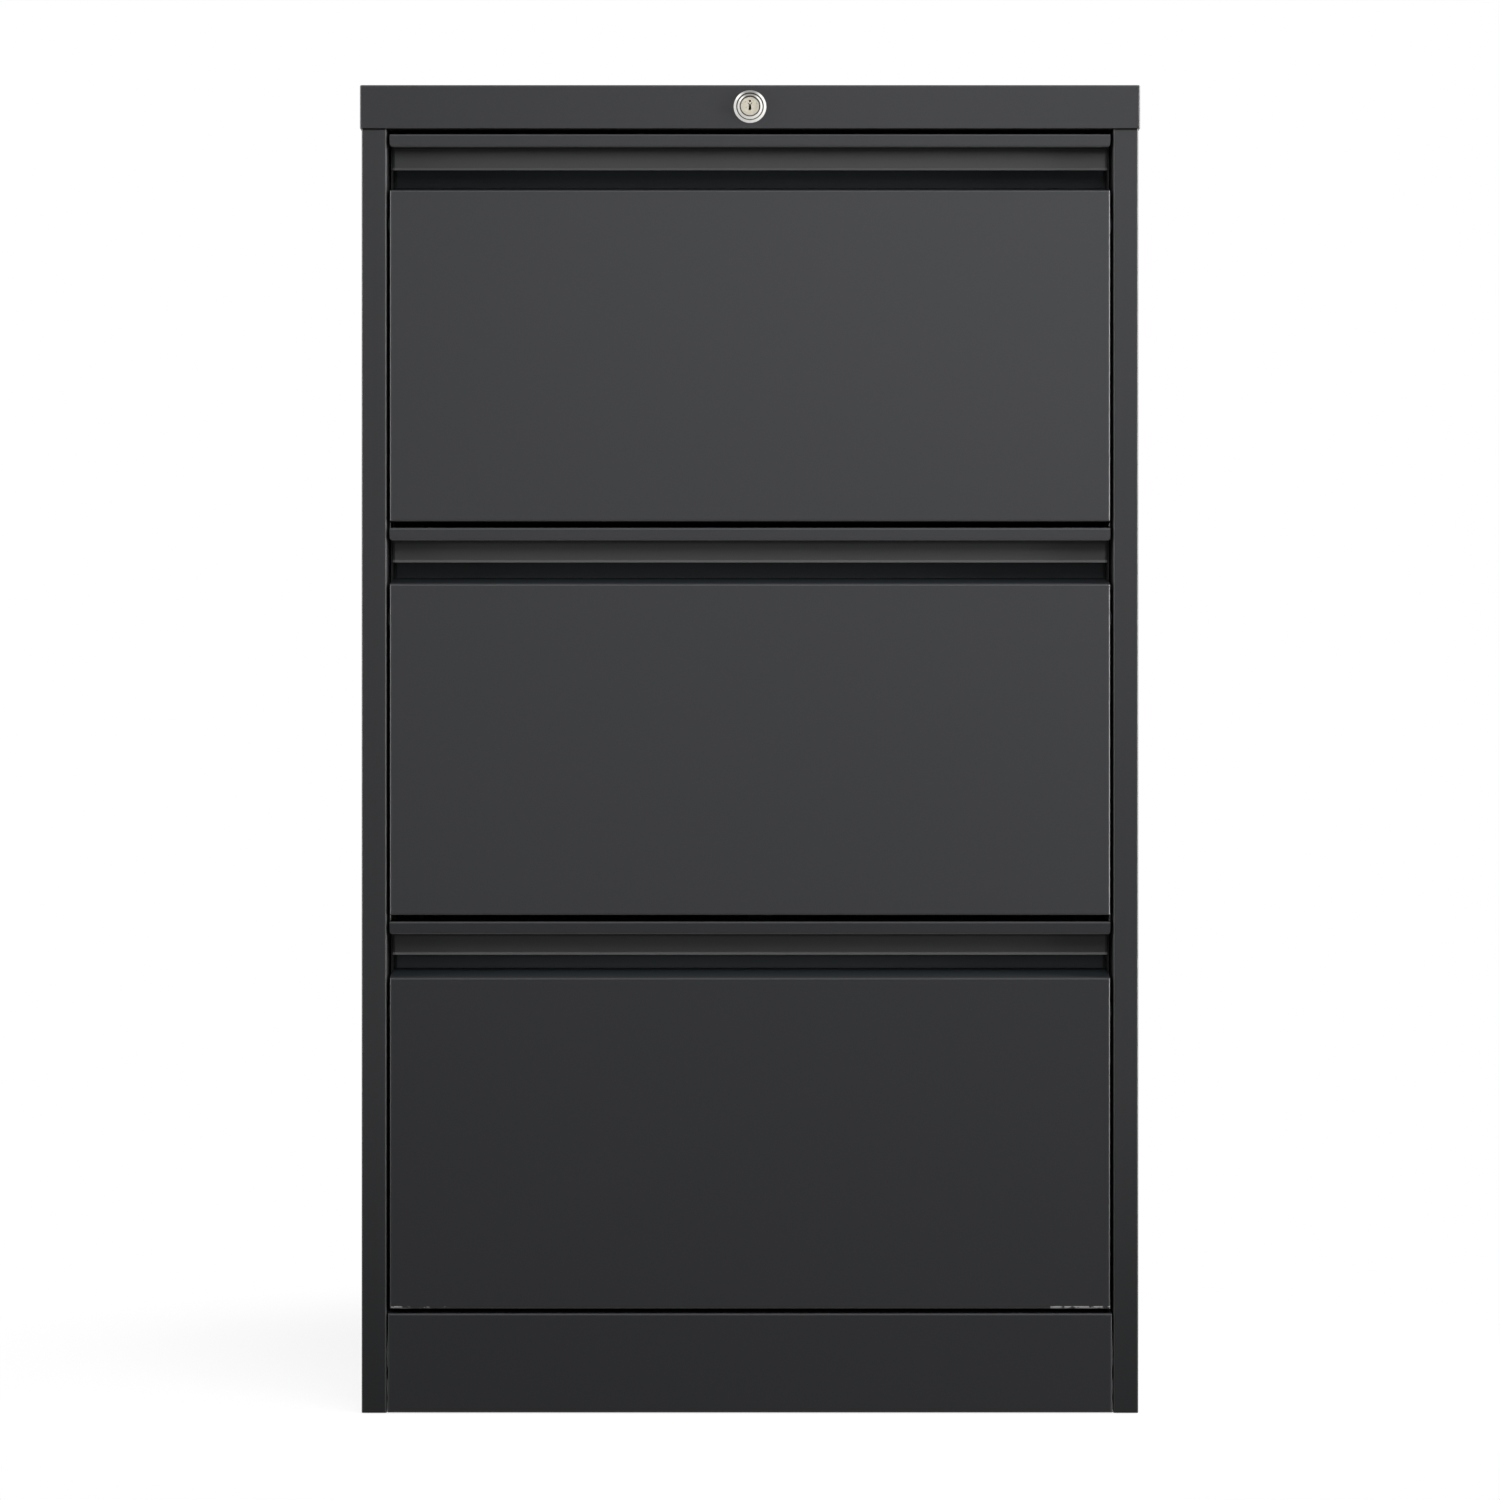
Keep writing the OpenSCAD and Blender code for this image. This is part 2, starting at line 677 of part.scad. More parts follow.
// A turned piece on the lock's axis: distances run back from the cap's front face
module turned(outline)
    translate([0, cap_front, lock_z]) rotate([-90, 0, 0]) rotate_extrude() polygon(outline);

// The rounded front of a ring, from its outer edge to its inner edge
function crown(inner, outer, front, rise) =
    [for (k = [0 : crown_steps])
        [(outer + inner) / 2, rise - front] + [(outer - inner) / 2 * cos(180 * k / crown_steps),
            -rise * sin(180 * k / crown_steps)]];

module lock_bezel() color(nickel) {
    outer = bezel_d / 2;
    hole = head_d / 2 + bore_gap;
    turned(concat([[hole, 0], [outer, 0]], crown(hole, outer, bezel_h, (outer - hole) / 2)));
}

module lock_housing() color(nickel) {
    head = head_d / 2;
    barrel = barrel_d / 2;
    bore = plug_d / 2 + bore_gap;
    turned(concat([[head, 0], [barrel, 0], [barrel, barrel_l], [bore, barrel_l]],
        backwards(crown(bore, head, head_h, head_crown))));
}

module lock_nut() color(zinc) at_lock() difference() {
    translate([0, front_y + sheet_t + nut_h, 0]) rotate([90, 0, 0])
        cylinder(h = nut_h, d = nut_w / cos(30), $fn = 6);
    rod_y(front_y, 2 * nut_h, barrel_d + 0.2);
}

// A round hole over a slot that spreads downwards and has two short arms at its top
module keyway() {
    translate([0, keyhole_z]) circle(d = keyhole_d, $fn = 12);
    half = [
        [key_low_w / 2, key_low], [key_top_w / 2, key_top],
        [ward_x, ward_z], [ward_x - key_top_w / 2, ward_z]];
    polygon(concat(half, [[0, key_top]], [for (p = backwards(half)) [-p[0], p[1]]]));
}

module lock_plug() color(nickel) at_lock() {
    face = cap_front - head_h + plug_set;
    difference() {
        rod_y(face, plug_l, plug_d);
        along_y(face - eps, keyway_depth + eps) keyway();
        rod_y(face + plug_l - 8, 8 + eps, rod_d + 2 * bore_gap);
    }
}

module lock_rod() color(zinc) at_lock() {
    start = cap_front - head_h + plug_set + plug_l - 8;
    rod_y(start, crank_back - start, rod_d);
}

module lock_crank() color(zinc) at_lock() rotate([0, crank_angle, 0]) difference() {
    union() {
        rod_y(crank_back - crank_h, crank_h, 14);
        translate([0, crank_back - crank_arm, -4.5]) cube([crank_r, crank_arm, 9]);
        translate([crank_r, 0, 0]) {
            rod_y(crank_back - crank_arm, crank_arm, 9);
            rod_y(crank_back - eps, back_in - 0.5 - crank_back + eps, crank_pin_d);
        }
    }
    rod_y(crank_back - crank_h - eps, crank_h + 2 * eps, rod_d + 2 * bore_gap);
}

// Bracket on the back panel that carries the rod
module rod_bearing() color(zinc) {
    t = 1.2;
    leg = bar_x + bar_w / 2 + 6;
    web = crank_back - crank_h - 8;
    foot = back_in - t / 2;
    difference() {
        along_z(lock_z - 11, 22) folded([
            [-leg - 12, foot], [-leg, foot], [-leg, web], [leg, web], [leg, foot], [leg + 12, foot]], t);
        at_lock() rod_y(web - 3, 6, rod_d + 2 * bore_gap);
    }
}

function catch_z(n) = drawer_z(n) + catch_lift;

module drawer_catch(n) color(zinc) along_x(bar_x - catch_w / 2, catch_w) folded([
    [tray_back + hook_t / 2, catch_z(n) - 30], [tray_back + hook_t / 2, catch_z(n)],
    [tooth_y + hook_t / 2, catch_z(n)], [tooth_y + hook_t / 2, catch_z(n) - tooth_h]], hook_t, hook_t);

// A flat bar with a slot for the crank pin, and one riveted hook behind each drawer
module lock_bar() color(zinc) {
    low = catch_z(len(drawer_names) - 1) - bar_tail;
    difference() {
        translate([bar_x - bar_w / 2, bar_y, low]) cube([bar_w, bar_t, bar_top - low]);
        translate([bar_x - bar_slot_w / 2, bar_y - eps, bar_slot_z - bar_slot_h / 2])
            cube([bar_slot_w, bar_t + 2 * eps, bar_slot_h]);
    }
    for (n = drawers) bar_hook(catch_z(n) - tooth_h - hook_top_gap);
}

module bar_hook(tip) {
    front = hook_y + hook_t / 2;
    foot = bar_y - bore_gap - hook_t / 2;
    low = tip - hook_rise;
    along_x(bar_x - hook_w / 2, hook_w) folded(
        [[front, tip], [front, low], [foot, low], [foot, low - hook_foot]], hook_t, hook_t);
}

module lock_bar_guides() color(zinc) for (n = drawers) {
    t = guide_t;
    side = bar_w / 2 + slip_gap + t / 2;
    strap = bar_y - slip_gap - t / 2;
    foot = back_in - t / 2;
    translate([bar_x, 0, 0]) along_z(catch_z(n) - guide_drop - guide_h / 2, guide_h) folded([
        [-side - guide_foot, foot], [-side, foot], [-side, strap], [side, strap], [side, foot],
        [side + guide_foot, foot]], t, t);
}

// Drawing

mirror([1, 0, 0]) side_panel();  // left_side_panel
side_panel();  // right_side_panel
back_panel();
top_cap();
bottom_pan();
base_plinth();
top_rail();
mirror([1, 0, 0]) uprights();  // left_uprights
uprights();  // right_uprights
foot_brackets();
carcass_screws();
lock_housing();
lock_bezel();
lock_nut();
lock_plug();
lock_rod();
lock_crank();
rod_bearing();
lock_bar();
lock_bar_guides();
foot(-1, -1);  // front_left_foot
foot(-1, 1);  // front_right_foot
foot(1, -1);  // rear_left_foot
foot(1, 1);  // rear_right_foot
for (n = drawers) {
    piece = str(drawer_names[n], "_drawer_");
    drawer_front(n);
    drawer_pull(n);
    drawer_inner_front(n);
    drawer_tray(n);
    drawer_back(n);
    drawer_hang_bars(n);
    drawer_catch(n);
    cabinet_rails(n);
    middle_rails(n);
    drawer_rails(n);
    outer_ball_cages(n);
    inner_ball_cages(n);
}
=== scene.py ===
"""Looks of a charcoal steel filing cabinet with three full-width drawers.

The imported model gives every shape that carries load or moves. This script paints it, adds the
small fixings that show when a drawer is open or the back is turned, and sets up the studio.
"""
import logging
import math
from dataclasses import dataclass, field
from enum import Enum
from typing import Any, Callable, Iterable, Sequence

import bmesh
import bpy
from mathutils import Euler, Matrix, Vector


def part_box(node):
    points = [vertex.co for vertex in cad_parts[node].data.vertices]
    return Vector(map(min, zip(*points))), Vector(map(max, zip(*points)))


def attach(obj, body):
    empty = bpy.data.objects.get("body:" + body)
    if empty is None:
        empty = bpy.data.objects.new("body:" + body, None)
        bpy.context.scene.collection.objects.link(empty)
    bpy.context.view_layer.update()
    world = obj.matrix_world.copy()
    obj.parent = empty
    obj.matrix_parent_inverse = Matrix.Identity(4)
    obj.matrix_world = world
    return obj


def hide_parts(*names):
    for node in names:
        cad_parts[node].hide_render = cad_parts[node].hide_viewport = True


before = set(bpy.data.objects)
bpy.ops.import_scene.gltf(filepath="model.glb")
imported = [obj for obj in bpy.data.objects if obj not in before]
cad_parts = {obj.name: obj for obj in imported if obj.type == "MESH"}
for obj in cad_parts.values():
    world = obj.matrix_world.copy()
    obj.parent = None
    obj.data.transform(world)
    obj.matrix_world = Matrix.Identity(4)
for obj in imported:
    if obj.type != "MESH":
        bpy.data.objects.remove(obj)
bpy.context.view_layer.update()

LOG = logging.getLogger("filing_cabinet")
MM = 0.001
DRAWERS = ("top", "middle", "bottom")
# The strips are there for the painted edges; the lock's bright rings only mirror the room.
LOCK_RINGS = ("lock_outer_ring", "lock_head_and_barrel")
LOCK_AXIS_MM = (0.0, 0.0, 1005.1)
# How wide the whole picture is where the cabinet's front stands.
IMAGE_MM = 1153.6
# A pull's outer width, and its end plates from just past their inside to just short of their outside.
PULL_X_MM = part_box("top_drawer_pull")[1].x / MM
FLANK_X_MM = PULL_X_MM - 0.6
END_X_MM = PULL_X_MM - 0.1
# The depth behind which a pull's ends and the fold under its lip get painted shade.
LIP_Y_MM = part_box("top_drawer_pull")[0].y / MM + 2.8
# Painted shade: near black for the fold under a pull's lip and the seam under the cap.
PAINTED_SHADE_BLACK = "#0c0c0d"
# The wave texture runs through this many radians over one unit of its scale.
WAVE_RATE = 20.0
# Nearly all values of a noise texture lie between these.
NOISE_SPAN = (0.3, 0.7)
# A face points a way when its normal has more than this share of it.
FLAT = 0.9
SMOOTH_DEG = 35.0
TURN_STEPS = 96
WELD_MM = 0.001


class Slot(Enum):
    """Names of two material slots of the record."""

    ZINC = "zinc_plate"
    NICKEL = "lock_nickel"


class Facing(Enum):
    """Ways that a fixing's head can point, as turns from straight up."""

    BACK = (-90, 0, 0)
    LEFT = (0, -90, 0)
    RIGHT = (0, 90, 0)

    def euler(self) -> Euler:
        """The turn as angles in radians."""
        return Euler([math.radians(a) for a in self.value])


def linear(code: str) -> tuple[float, float, float, float]:
    """Turns an sRGB hex colour into linear light.

    Args:
        code: Six hex digits after a hash sign.

    Returns:
        Red, green, blue and an alpha of one.
    """
    parts = [int(code[i:i + 2], 16) / 255 for i in (1, 3, 5)]
    light = [c / 12.92 if c <= 0.04045 else ((c + 0.055) / 1.055) ** 2.4 for c in parts]
    return (*light, 1.0)


def add_node(tree: bpy.types.NodeTree, kind: str, settings: dict[str, Any] | None = None,
             inputs: dict[Any, Any] | None = None) -> bpy.types.Node:
    """Adds a shader node, sets it up and links it.

    Args:
        tree: The tree that gets the node.
        kind: The node's type without its ShaderNode prefix.
        settings: Properties of the node.
        inputs: Sockets by name or number, each with a value or with an output to link.

    Returns:
        The new node.
    """
    node = tree.nodes.new("ShaderNode" + kind)
    for name, value in (settings or {}).items():
        setattr(node, name, value)
    for name, value in (inputs or {}).items():
        socket = node.inputs[name]
        if isinstance(value, bpy.types.NodeSocket):
            tree.links.new(value, socket)
        else:
            socket.default_value = value
    return node


def new_material(name: str) -> tuple[bpy.types.Material, bpy.types.NodeTree]:
    """Makes a material whose node tree is empty.

    Args:
        name: The material's name.

    Returns:
        The material and its node tree.
    """
    material = bpy.data.materials.new(name)
    material.use_nodes = True
    material.node_tree.nodes.clear()
    return material, material.node_tree


class Along(Enum):
    """Directions in which a tone or a brightness drifts, as axes."""

    SIDE = "X"
    BACK = "Y"
    UP = "Z"


@dataclass(frozen=True)
class Shade:
    """Painted shade or light: a drift of a film's colour in one direction, from none at its first place to
    all at its last.

    It can be kept within a distance from the middle, or behind a depth. An even drift is a straight one;
    any other eases in and out.
    """

    tone: str
    first_mm: float
    last_mm: float
    along: Along = Along.BACK
    within_mm: float | None = None
    behind_mm: float | None = None
    even: bool = False


@dataclass(frozen=True)
class PowderCoat:
    """Polyester powder coat on sheet steel, sprayed dry and baked: a satin film with a fine orange peel."""

    name: str
    colour: str
    thin: str
    roughness: tuple[float, float] = (0.325, 0.355)
    specular: float = 0.5
    mottle_mm: float = 90.0
    peel_mm: float = 1.6
    peel_depth_mm: float = 0.012
    chips_z_mm: float | None = None
    chips_x_mm: tuple[float, float] = (231.0, 277.0)
    chips_h_mm: float = 2.2
    chip_mm: float = 4.0
    chipped_from: tuple[float, float] = (0.58, 0.68)
    scraping: tuple[float, float] = (0.045, 0.22)
    steel: str = "#a9a9a6"
    shades: Sequence[Shade] = ()
    # Painted shade: a pull's ends behind its lip take the near black end shade colour.
    ends_x_mm: float | None = None
    end_shade: str = "#151617"

    def build(self) -> bpy.types.Material:
        """Builds the finish.

        Returns:
            The material.
        """
        material, tree = new_material(self.name)
        place = add_node(tree, "TexCoord").outputs["Object"]
        # The film is never quite even, so its depth of colour drifts over a hand's width.
        mottle = add_node(tree, "TexNoise", None, {
            "Vector": place, "Scale": 1 / (self.mottle_mm * MM), "Detail": 3.0, "Roughness": 0.5})
        colour = add_node(tree, "Mix", {"data_type": "RGBA"}, {
            0: mottle.outputs["Fac"], 6: linear(self.colour), 7: linear(self.thin)}).outputs[2]
        # Painted shade and light go over the film's colour: the drifts, then a pull's near black ends.
        for shade in self.shades:
            colour = self._shaded(tree, place, colour, shade)
        if self.ends_x_mm is not None:
            colour = self._paint_shaded_ends(tree, place, colour)
        if self.chips_z_mm is not None:
            colour = self._chipped(tree, place, colour)
        # Orange peel is about half a millimetre across; it is drawn coarser so that it shows.
        peel = add_node(tree, "TexNoise", None, {
            "Vector": place, "Scale": 1 / (self.peel_mm * MM), "Detail": 2.0, "Roughness": 0.6})
        rough = add_node(tree, "MapRange", None, {
            "Value": mottle.outputs["Fac"], "From Min": NOISE_SPAN[0], "From Max": NOISE_SPAN[1],
            "To Min": self.roughness[0], "To Max": self.roughness[1]})
        bump = add_node(tree, "Bump", None, {
            "Height": peel.outputs["Fac"], "Strength": 0.6, "Distance": self.peel_depth_mm * MM})
        shader = add_node(tree, "BsdfPrincipled", None, {
            "Base Color": colour, "Roughness": rough.outputs[0], "Normal": bump.outputs[0],
            "Specular IOR Level": self.specular, "IOR": 1.5})
        add_node(tree, "OutputMaterial", None, {"Surface": shader.outputs[0]})
        return material

    @staticmethod
    def _shaded(tree: bpy.types.NodeTree, place: bpy.types.NodeSocket, colour: bpy.types.NodeSocket,
                shade: Shade) -> bpy.types.NodeSocket:
        """Paints shade or light into the film's colour as a drift.

        Args:
            tree: The material's tree.
            place: Object coordinates.
            colour: The film's colour so far.
            shade: The other tone and where it shows.

        Returns:
            The colour with the other tone in its place.
        """
        axes = add_node(tree, "SeparateXYZ", None, {0: place})
        easing = "LINEAR" if shade.even else "SMOOTHSTEP"
        mask = add_node(tree, "MapRange", {"interpolation_type": easing}, {
            "Value": axes.outputs[shade.along.value],
            "From Min": shade.first_mm * MM, "From Max": shade.last_mm * MM})
        if shade.within_mm is not None:
            sideways = add_node(tree, "Math", {"operation": "ABSOLUTE"}, {0: axes.outputs["X"]})
            within = add_node(tree, "Math", {"operation": "LESS_THAN"}, {
                0: sideways.outputs[0], 1: shade.within_mm * MM})
            mask = add_node(tree, "Math", {"operation": "MULTIPLY"}, {
                0: mask.outputs[0], 1: within.outputs[0]})
        if shade.behind_mm is not None:
            behind = add_node(tree, "Math", {"operation": "GREATER_THAN"}, {
                0: axes.outputs["Y"], 1: shade.behind_mm * MM})
            mask = add_node(tree, "Math", {"operation": "MULTIPLY"}, {
                0: mask.outputs[0], 1: behind.outputs[0]})
        return add_node(tree, "Mix", {"data_type": "RGBA"}, {
            0: mask.outputs[0], 6: colour, 7: linear(shade.tone)}).outputs[2]

    def _paint_shaded_ends(self, tree: bpy.types.NodeTree, place: bpy.types.NodeSocket,
                   colour: bpy.types.NodeSocket) -> bpy.types.NodeSocket:
        """Paints the folded ends behind the lip nearly black: painted shade where they stand deep in the
        slot.

        Args:
            tree: The material's tree.
            place: Object coordinates.
            colour: The film's colour.

        Returns:
            The colour with the dark ends.
        """
        axes = add_node(tree, "SeparateXYZ", None, {0: place})
        sideways = add_node(tree, "Math", {"operation": "ABSOLUTE"}, {0: axes.outputs["X"]})
        end = add_node(tree, "Math", {"operation": "COMPARE"}, {
            0: sideways.outputs[0], 1: (self.ends_x_mm + END_X_MM) / 2 * MM,
            2: (END_X_MM - self.ends_x_mm) / 2 * MM})
        behind = add_node(tree, "Math", {"operation": "GREATER_THAN"}, {
            0: axes.outputs["Y"], 1: LIP_Y_MM * MM})
        mask = add_node(tree, "Math", {"operation": "MULTIPLY"}, {0: end.outputs[0], 1: behind.outputs[0]})
        return add_node(tree, "Mix", {"data_type": "RGBA"}, {
            0: mask.outputs[0], 6: colour, 7: linear(self.end_shade)}).outputs[2]

    def _chipped(self, tree: bpy.types.NodeTree, place: bpy.types.NodeSocket,
                 colour: bpy.types.NodeSocket) -> bpy.types.NodeSocket:
        """Wears small specks of the film off one lower edge, where shoes and mops reach it.

        Args:
            tree: The material's tree.
            place: Object coordinates.
            colour: The sound film's colour.

        Returns:
            The colour with the worn specks.
        """
        axes = add_node(tree, "SeparateXYZ", None, {0: place})
        half = self.chips_h_mm / 2
        height = add_node(tree, "Math", {"operation": "COMPARE"}, {
            0: axes.outputs["Z"], 1: (self.chips_z_mm + half) * MM, 2: half * MM})
        near, far = self.chips_x_mm
        sideways = add_node(tree, "Math", {"operation": "ABSOLUTE"}, {0: axes.outputs["X"]})
        corner = add_node(tree, "Math", {"operation": "COMPARE"}, {
            0: sideways.outputs[0], 1: (near + far) / 2 * MM, 2: (far - near) / 2 * MM})
        edge = add_node(tree, "Math", {"operation": "MULTIPLY"}, {
            0: height.outputs[0], 1: corner.outputs[0]})
        # The left corner has single specks, and the right one is scraped nearly all along.
        specks = add_node(tree, "TexNoise", None, {
            "Vector": place, "Scale": 1 / (self.chip_mm * MM), "Detail": 2.0})
        scraped = add_node(tree, "MapRange", None, {
            "Value": axes.outputs["X"], "From Min": -near * MM, "From Max": near * MM,
            "To Min": self.scraping[0], "To Max": self.scraping[1]})
        worn = add_node(tree, "Math", {"operation": "ADD"}, {
            0: specks.outputs["Fac"], 1: scraped.outputs[0]})
        bare = add_node(tree, "MapRange", None, {
            "Value": worn.outputs[0], "From Min": self.chipped_from[0], "From Max": self.chipped_from[1]})
        mask = add_node(tree, "Math", {"operation": "MULTIPLY"}, {0: edge.outputs[0], 1: bare.outputs[0]})
        return add_node(tree, "Mix", {"data_type": "RGBA"}, {
            0: mask.outputs[0], 6: colour, 7: linear(self.steel)}).outputs[2]


@dataclass(frozen=True)
class ZincPlate:
    """Cold-rolled steel, bright zinc plated: a soft metal shine, rolling lines and a blue-yellow cast."""

    name: str
    colour: str = "#b3b8bc"
    cast: str = "#a6a59b"
    roughness: tuple[float, float] = (0.30, 0.44)
    cast_mm: float = 35.0
    line_mm: float = 0.8
    line_stretch: float = 40.0
    line_depth_mm: float = 0.01

    def build(self) -> bpy.types.Material:
        """Builds the finish.

        Returns:
            The material.
        """
        material, tree = new_material(self.name)
        place = add_node(tree, "TexCoord").outputs["Object"]
        cast = add_node(tree, "TexNoise", None, {
            "Vector": place, "Scale": 1 / (self.cast_mm * MM), "Detail": 2.0})
        colour = add_node(tree, "Mix", {"data_type": "RGBA"}, {
            0: cast.outputs["Fac"], 6: linear(self.colour), 7: linear(self.cast)}).outputs[2]
        # Rolling lines run along the rails, front to back, many times as long as they are wide.
        along = add_node(tree, "Mapping", None, {
            "Vector": place, "Scale": (1.0, 1 / self.line_stretch, 1.0)})
        lines = add_node(tree, "TexNoise", None, {
            "Vector": along.outputs[0], "Scale": 1 / (self.line_mm * MM), "Detail": 2.0})
        rough = add_node(tree, "MapRange", None, {
            "Value": lines.outputs["Fac"], "From Min": NOISE_SPAN[0], "From Max": NOISE_SPAN[1],
            "To Min": self.roughness[0], "To Max": self.roughness[1]})
        bump = add_node(tree, "Bump", None, {
            "Height": lines.outputs["Fac"], "Strength": 0.3, "Distance": self.line_depth_mm * MM})
        shader = add_node(tree, "BsdfPrincipled", None, {
            "Base Color": colour, "Metallic": 1.0, "Roughness": rough.outputs[0],
            "Normal": bump.outputs[0]})
        add_node(tree, "OutputMaterial", None, {"Surface": shader.outputs[0]})
        return material


@dataclass(frozen=True)
class TurnedNickel:
    """Nickel-plated die-cast zinc, turned and tumbled: bright, with fine rings about the lock's axis."""

    name: str
    colour: str
    worn: str
    roughness: tuple[float, float]
    metallic: float
    axis_mm: tuple[float, float, float]
    ring_mm: float = 4.4
    ring_depth_mm: float = 0.01
    smudge_mm: float = 3.0
    keyway_shade: str = "#0b0a09"
    keyway_shade_y_mm: float | None = None

    def build(self) -> bpy.types.Material:
        """Builds the finish.

        Returns:
            The material.
        """
        material, tree = new_material(self.name)
        place = add_node(tree, "TexCoord").outputs["Object"]
        centred = add_node(tree, "Mapping", {"vector_type": "POINT"}, {
            "Vector": place, "Location": tuple(-v * MM for v in self.axis_mm)})
        # Turning rings are a tenth of a millimetre apart; they are drawn wider so that they show.
        rings = add_node(tree, "TexWave", {"wave_type": "RINGS", "rings_direction": "Y"}, {
            "Vector": centred.outputs[0], "Scale": 2 * math.pi / (WAVE_RATE * self.ring_mm * MM),
            "Distortion": 0.6, "Detail": 2.0})
        smudge = add_node(tree, "TexNoise", None, {
            "Vector": place, "Scale": 1 / (self.smudge_mm * MM), "Detail": 4.0})
        colour = add_node(tree, "Mix", {"data_type": "RGBA"}, {
            0: smudge.outputs["Fac"], 6: linear(self.colour), 7: linear(self.worn)}).outputs[2]
        if self.keyway_shade_y_mm is not None:
            # Painted shade: the keyway behind the plug's face is near black.
            axes = add_node(tree, "SeparateXYZ", None, {0: place})
            inside = add_node(tree, "Math", {"operation": "GREATER_THAN"}, {
                0: axes.outputs["Y"], 1: self.keyway_shade_y_mm * MM})
            colour = add_node(tree, "Mix", {"data_type": "RGBA"}, {
                0: inside.outputs[0], 6: colour, 7: linear(self.keyway_shade)}).outputs[2]
        rough = add_node(tree, "MapRange", None, {
            "Value": smudge.outputs["Fac"], "From Min": NOISE_SPAN[0], "From Max": NOISE_SPAN[1],
            "To Min": self.roughness[0], "To Max": self.roughness[1]})
        bump = add_node(tree, "Bump", None, {
            "Height": rings.outputs["Fac"], "Strength": 0.25, "Distance": self.ring_depth_mm * MM})
        shader = add_node(tree, "BsdfPrincipled", None, {
            "Base Color": colour, "Metallic": self.metallic, "Roughness": rough.outputs[0],
            "Normal": bump.outputs[0]})
        add_node(tree, "OutputMaterial", None, {"Surface": shader.outputs[0]})
        return material


@dataclass(frozen=True)
class MouldedNylon:
    """Black moulded nylon with a spark-eroded grain: dull, with a slight sheen on worn spots."""

    name: str
    colour: str = "#19191a"
    scuffed: str = "#2a2a2b"
    roughness: tuple[float, float] = (0.68, 0.45)
    scuff_mm: float = 9.0
    grain_mm: float = 0.9
    grain_depth_mm: float = 0.05

    def build(self) -> bpy.types.Material:
        """Builds the finish.

        Returns:
            The material.
        """
        material, tree = new_material(self.name)
        place = add_node(tree, "TexCoord").outputs["Object"]
        scuff = add_node(tree, "TexNoise", None, {
            "Vector": place, "Scale": 1 / (self.scuff_mm * MM), "Detail": 4.0})
        grain = add_node(tree, "TexVoronoi", None, {"Vector": place, "Scale": 1 / (self.grain_mm * MM)})
        colour = add_node(tree, "Mix", {"data_type": "RGBA"}, {
            0: scuff.outputs["Fac"], 6: linear(self.colour), 7: linear(self.scuffed)}).outputs[2]
        rough = add_node(tree, "MapRange", None, {
            "Value": scuff.outputs["Fac"], "To Min": self.roughness[0], "To Max": self.roughness[1]})
        bump = add_node(tree, "Bump", None, {
            "Height": grain.outputs["Distance"], "Strength": 0.4, "Distance": self.grain_depth_mm * MM})
        shader = add_node(tree, "BsdfPrincipled", None, {
            "Base Color": colour, "Roughness": rough.outputs[0], "Normal": bump.outputs[0], "IOR": 1.53})
        add_node(tree, "OutputMaterial", None, {"Surface": shader.outputs[0]})
        return material


@dataclass(frozen=True)
class SideFilm:
    """The film on the side panels, with painted shade: darker towards the floor and near black in the seam
    under the cap.
    """

    colour: str
    thin: str
    low: str
    low_h_mm: float = 260.0
    seam_mm: tuple[float, float] = (1.9, 0.9)

    def coat(self) -> PowderCoat:
        """Lays out the film.

        Returns:
            The finish of both panels.
        """
        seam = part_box("top_cap")[0].z / MM
        return PowderCoat(
            "charcoal_powder_coat_sides", self.colour, self.thin, shades=(
                # Painted shade: darker towards the floor, and near black in the seam under the cap.
                Shade(self.low, self.low_h_mm, 0.0, Along.UP, even=True),
                Shade(PAINTED_SHADE_BLACK, seam - self.seam_mm[0], seam - self.seam_mm[1], Along.UP)))


@dataclass(frozen=True)
class FrontFilm:
    """The film on one drawer's front, with painted shade on the ledge that is folded back under the pull.
    """

    colour: str
    thin: str
    # Painted shade: the ledge's colour, set drawer by drawer.
    ledge: str
    chipped: bool = False
    ledge_y_mm: tuple[float, float] = (-198.0, -190.0)

    def coat(self, drawer: str) -> PowderCoat:
        """Lays out the film.

        Args:
            drawer: The drawer's name.

        Returns:
            The front's finish.
        """
        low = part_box(f"{drawer}_drawer_front")[0].z / MM
        return PowderCoat(
            f"charcoal_powder_coat_{drawer}_front", self.colour, self.thin,
            shades=(Shade(self.ledge, *self.ledge_y_mm, within_mm=FLANK_X_MM),),
            chips_z_mm=low if self.chipped else None)


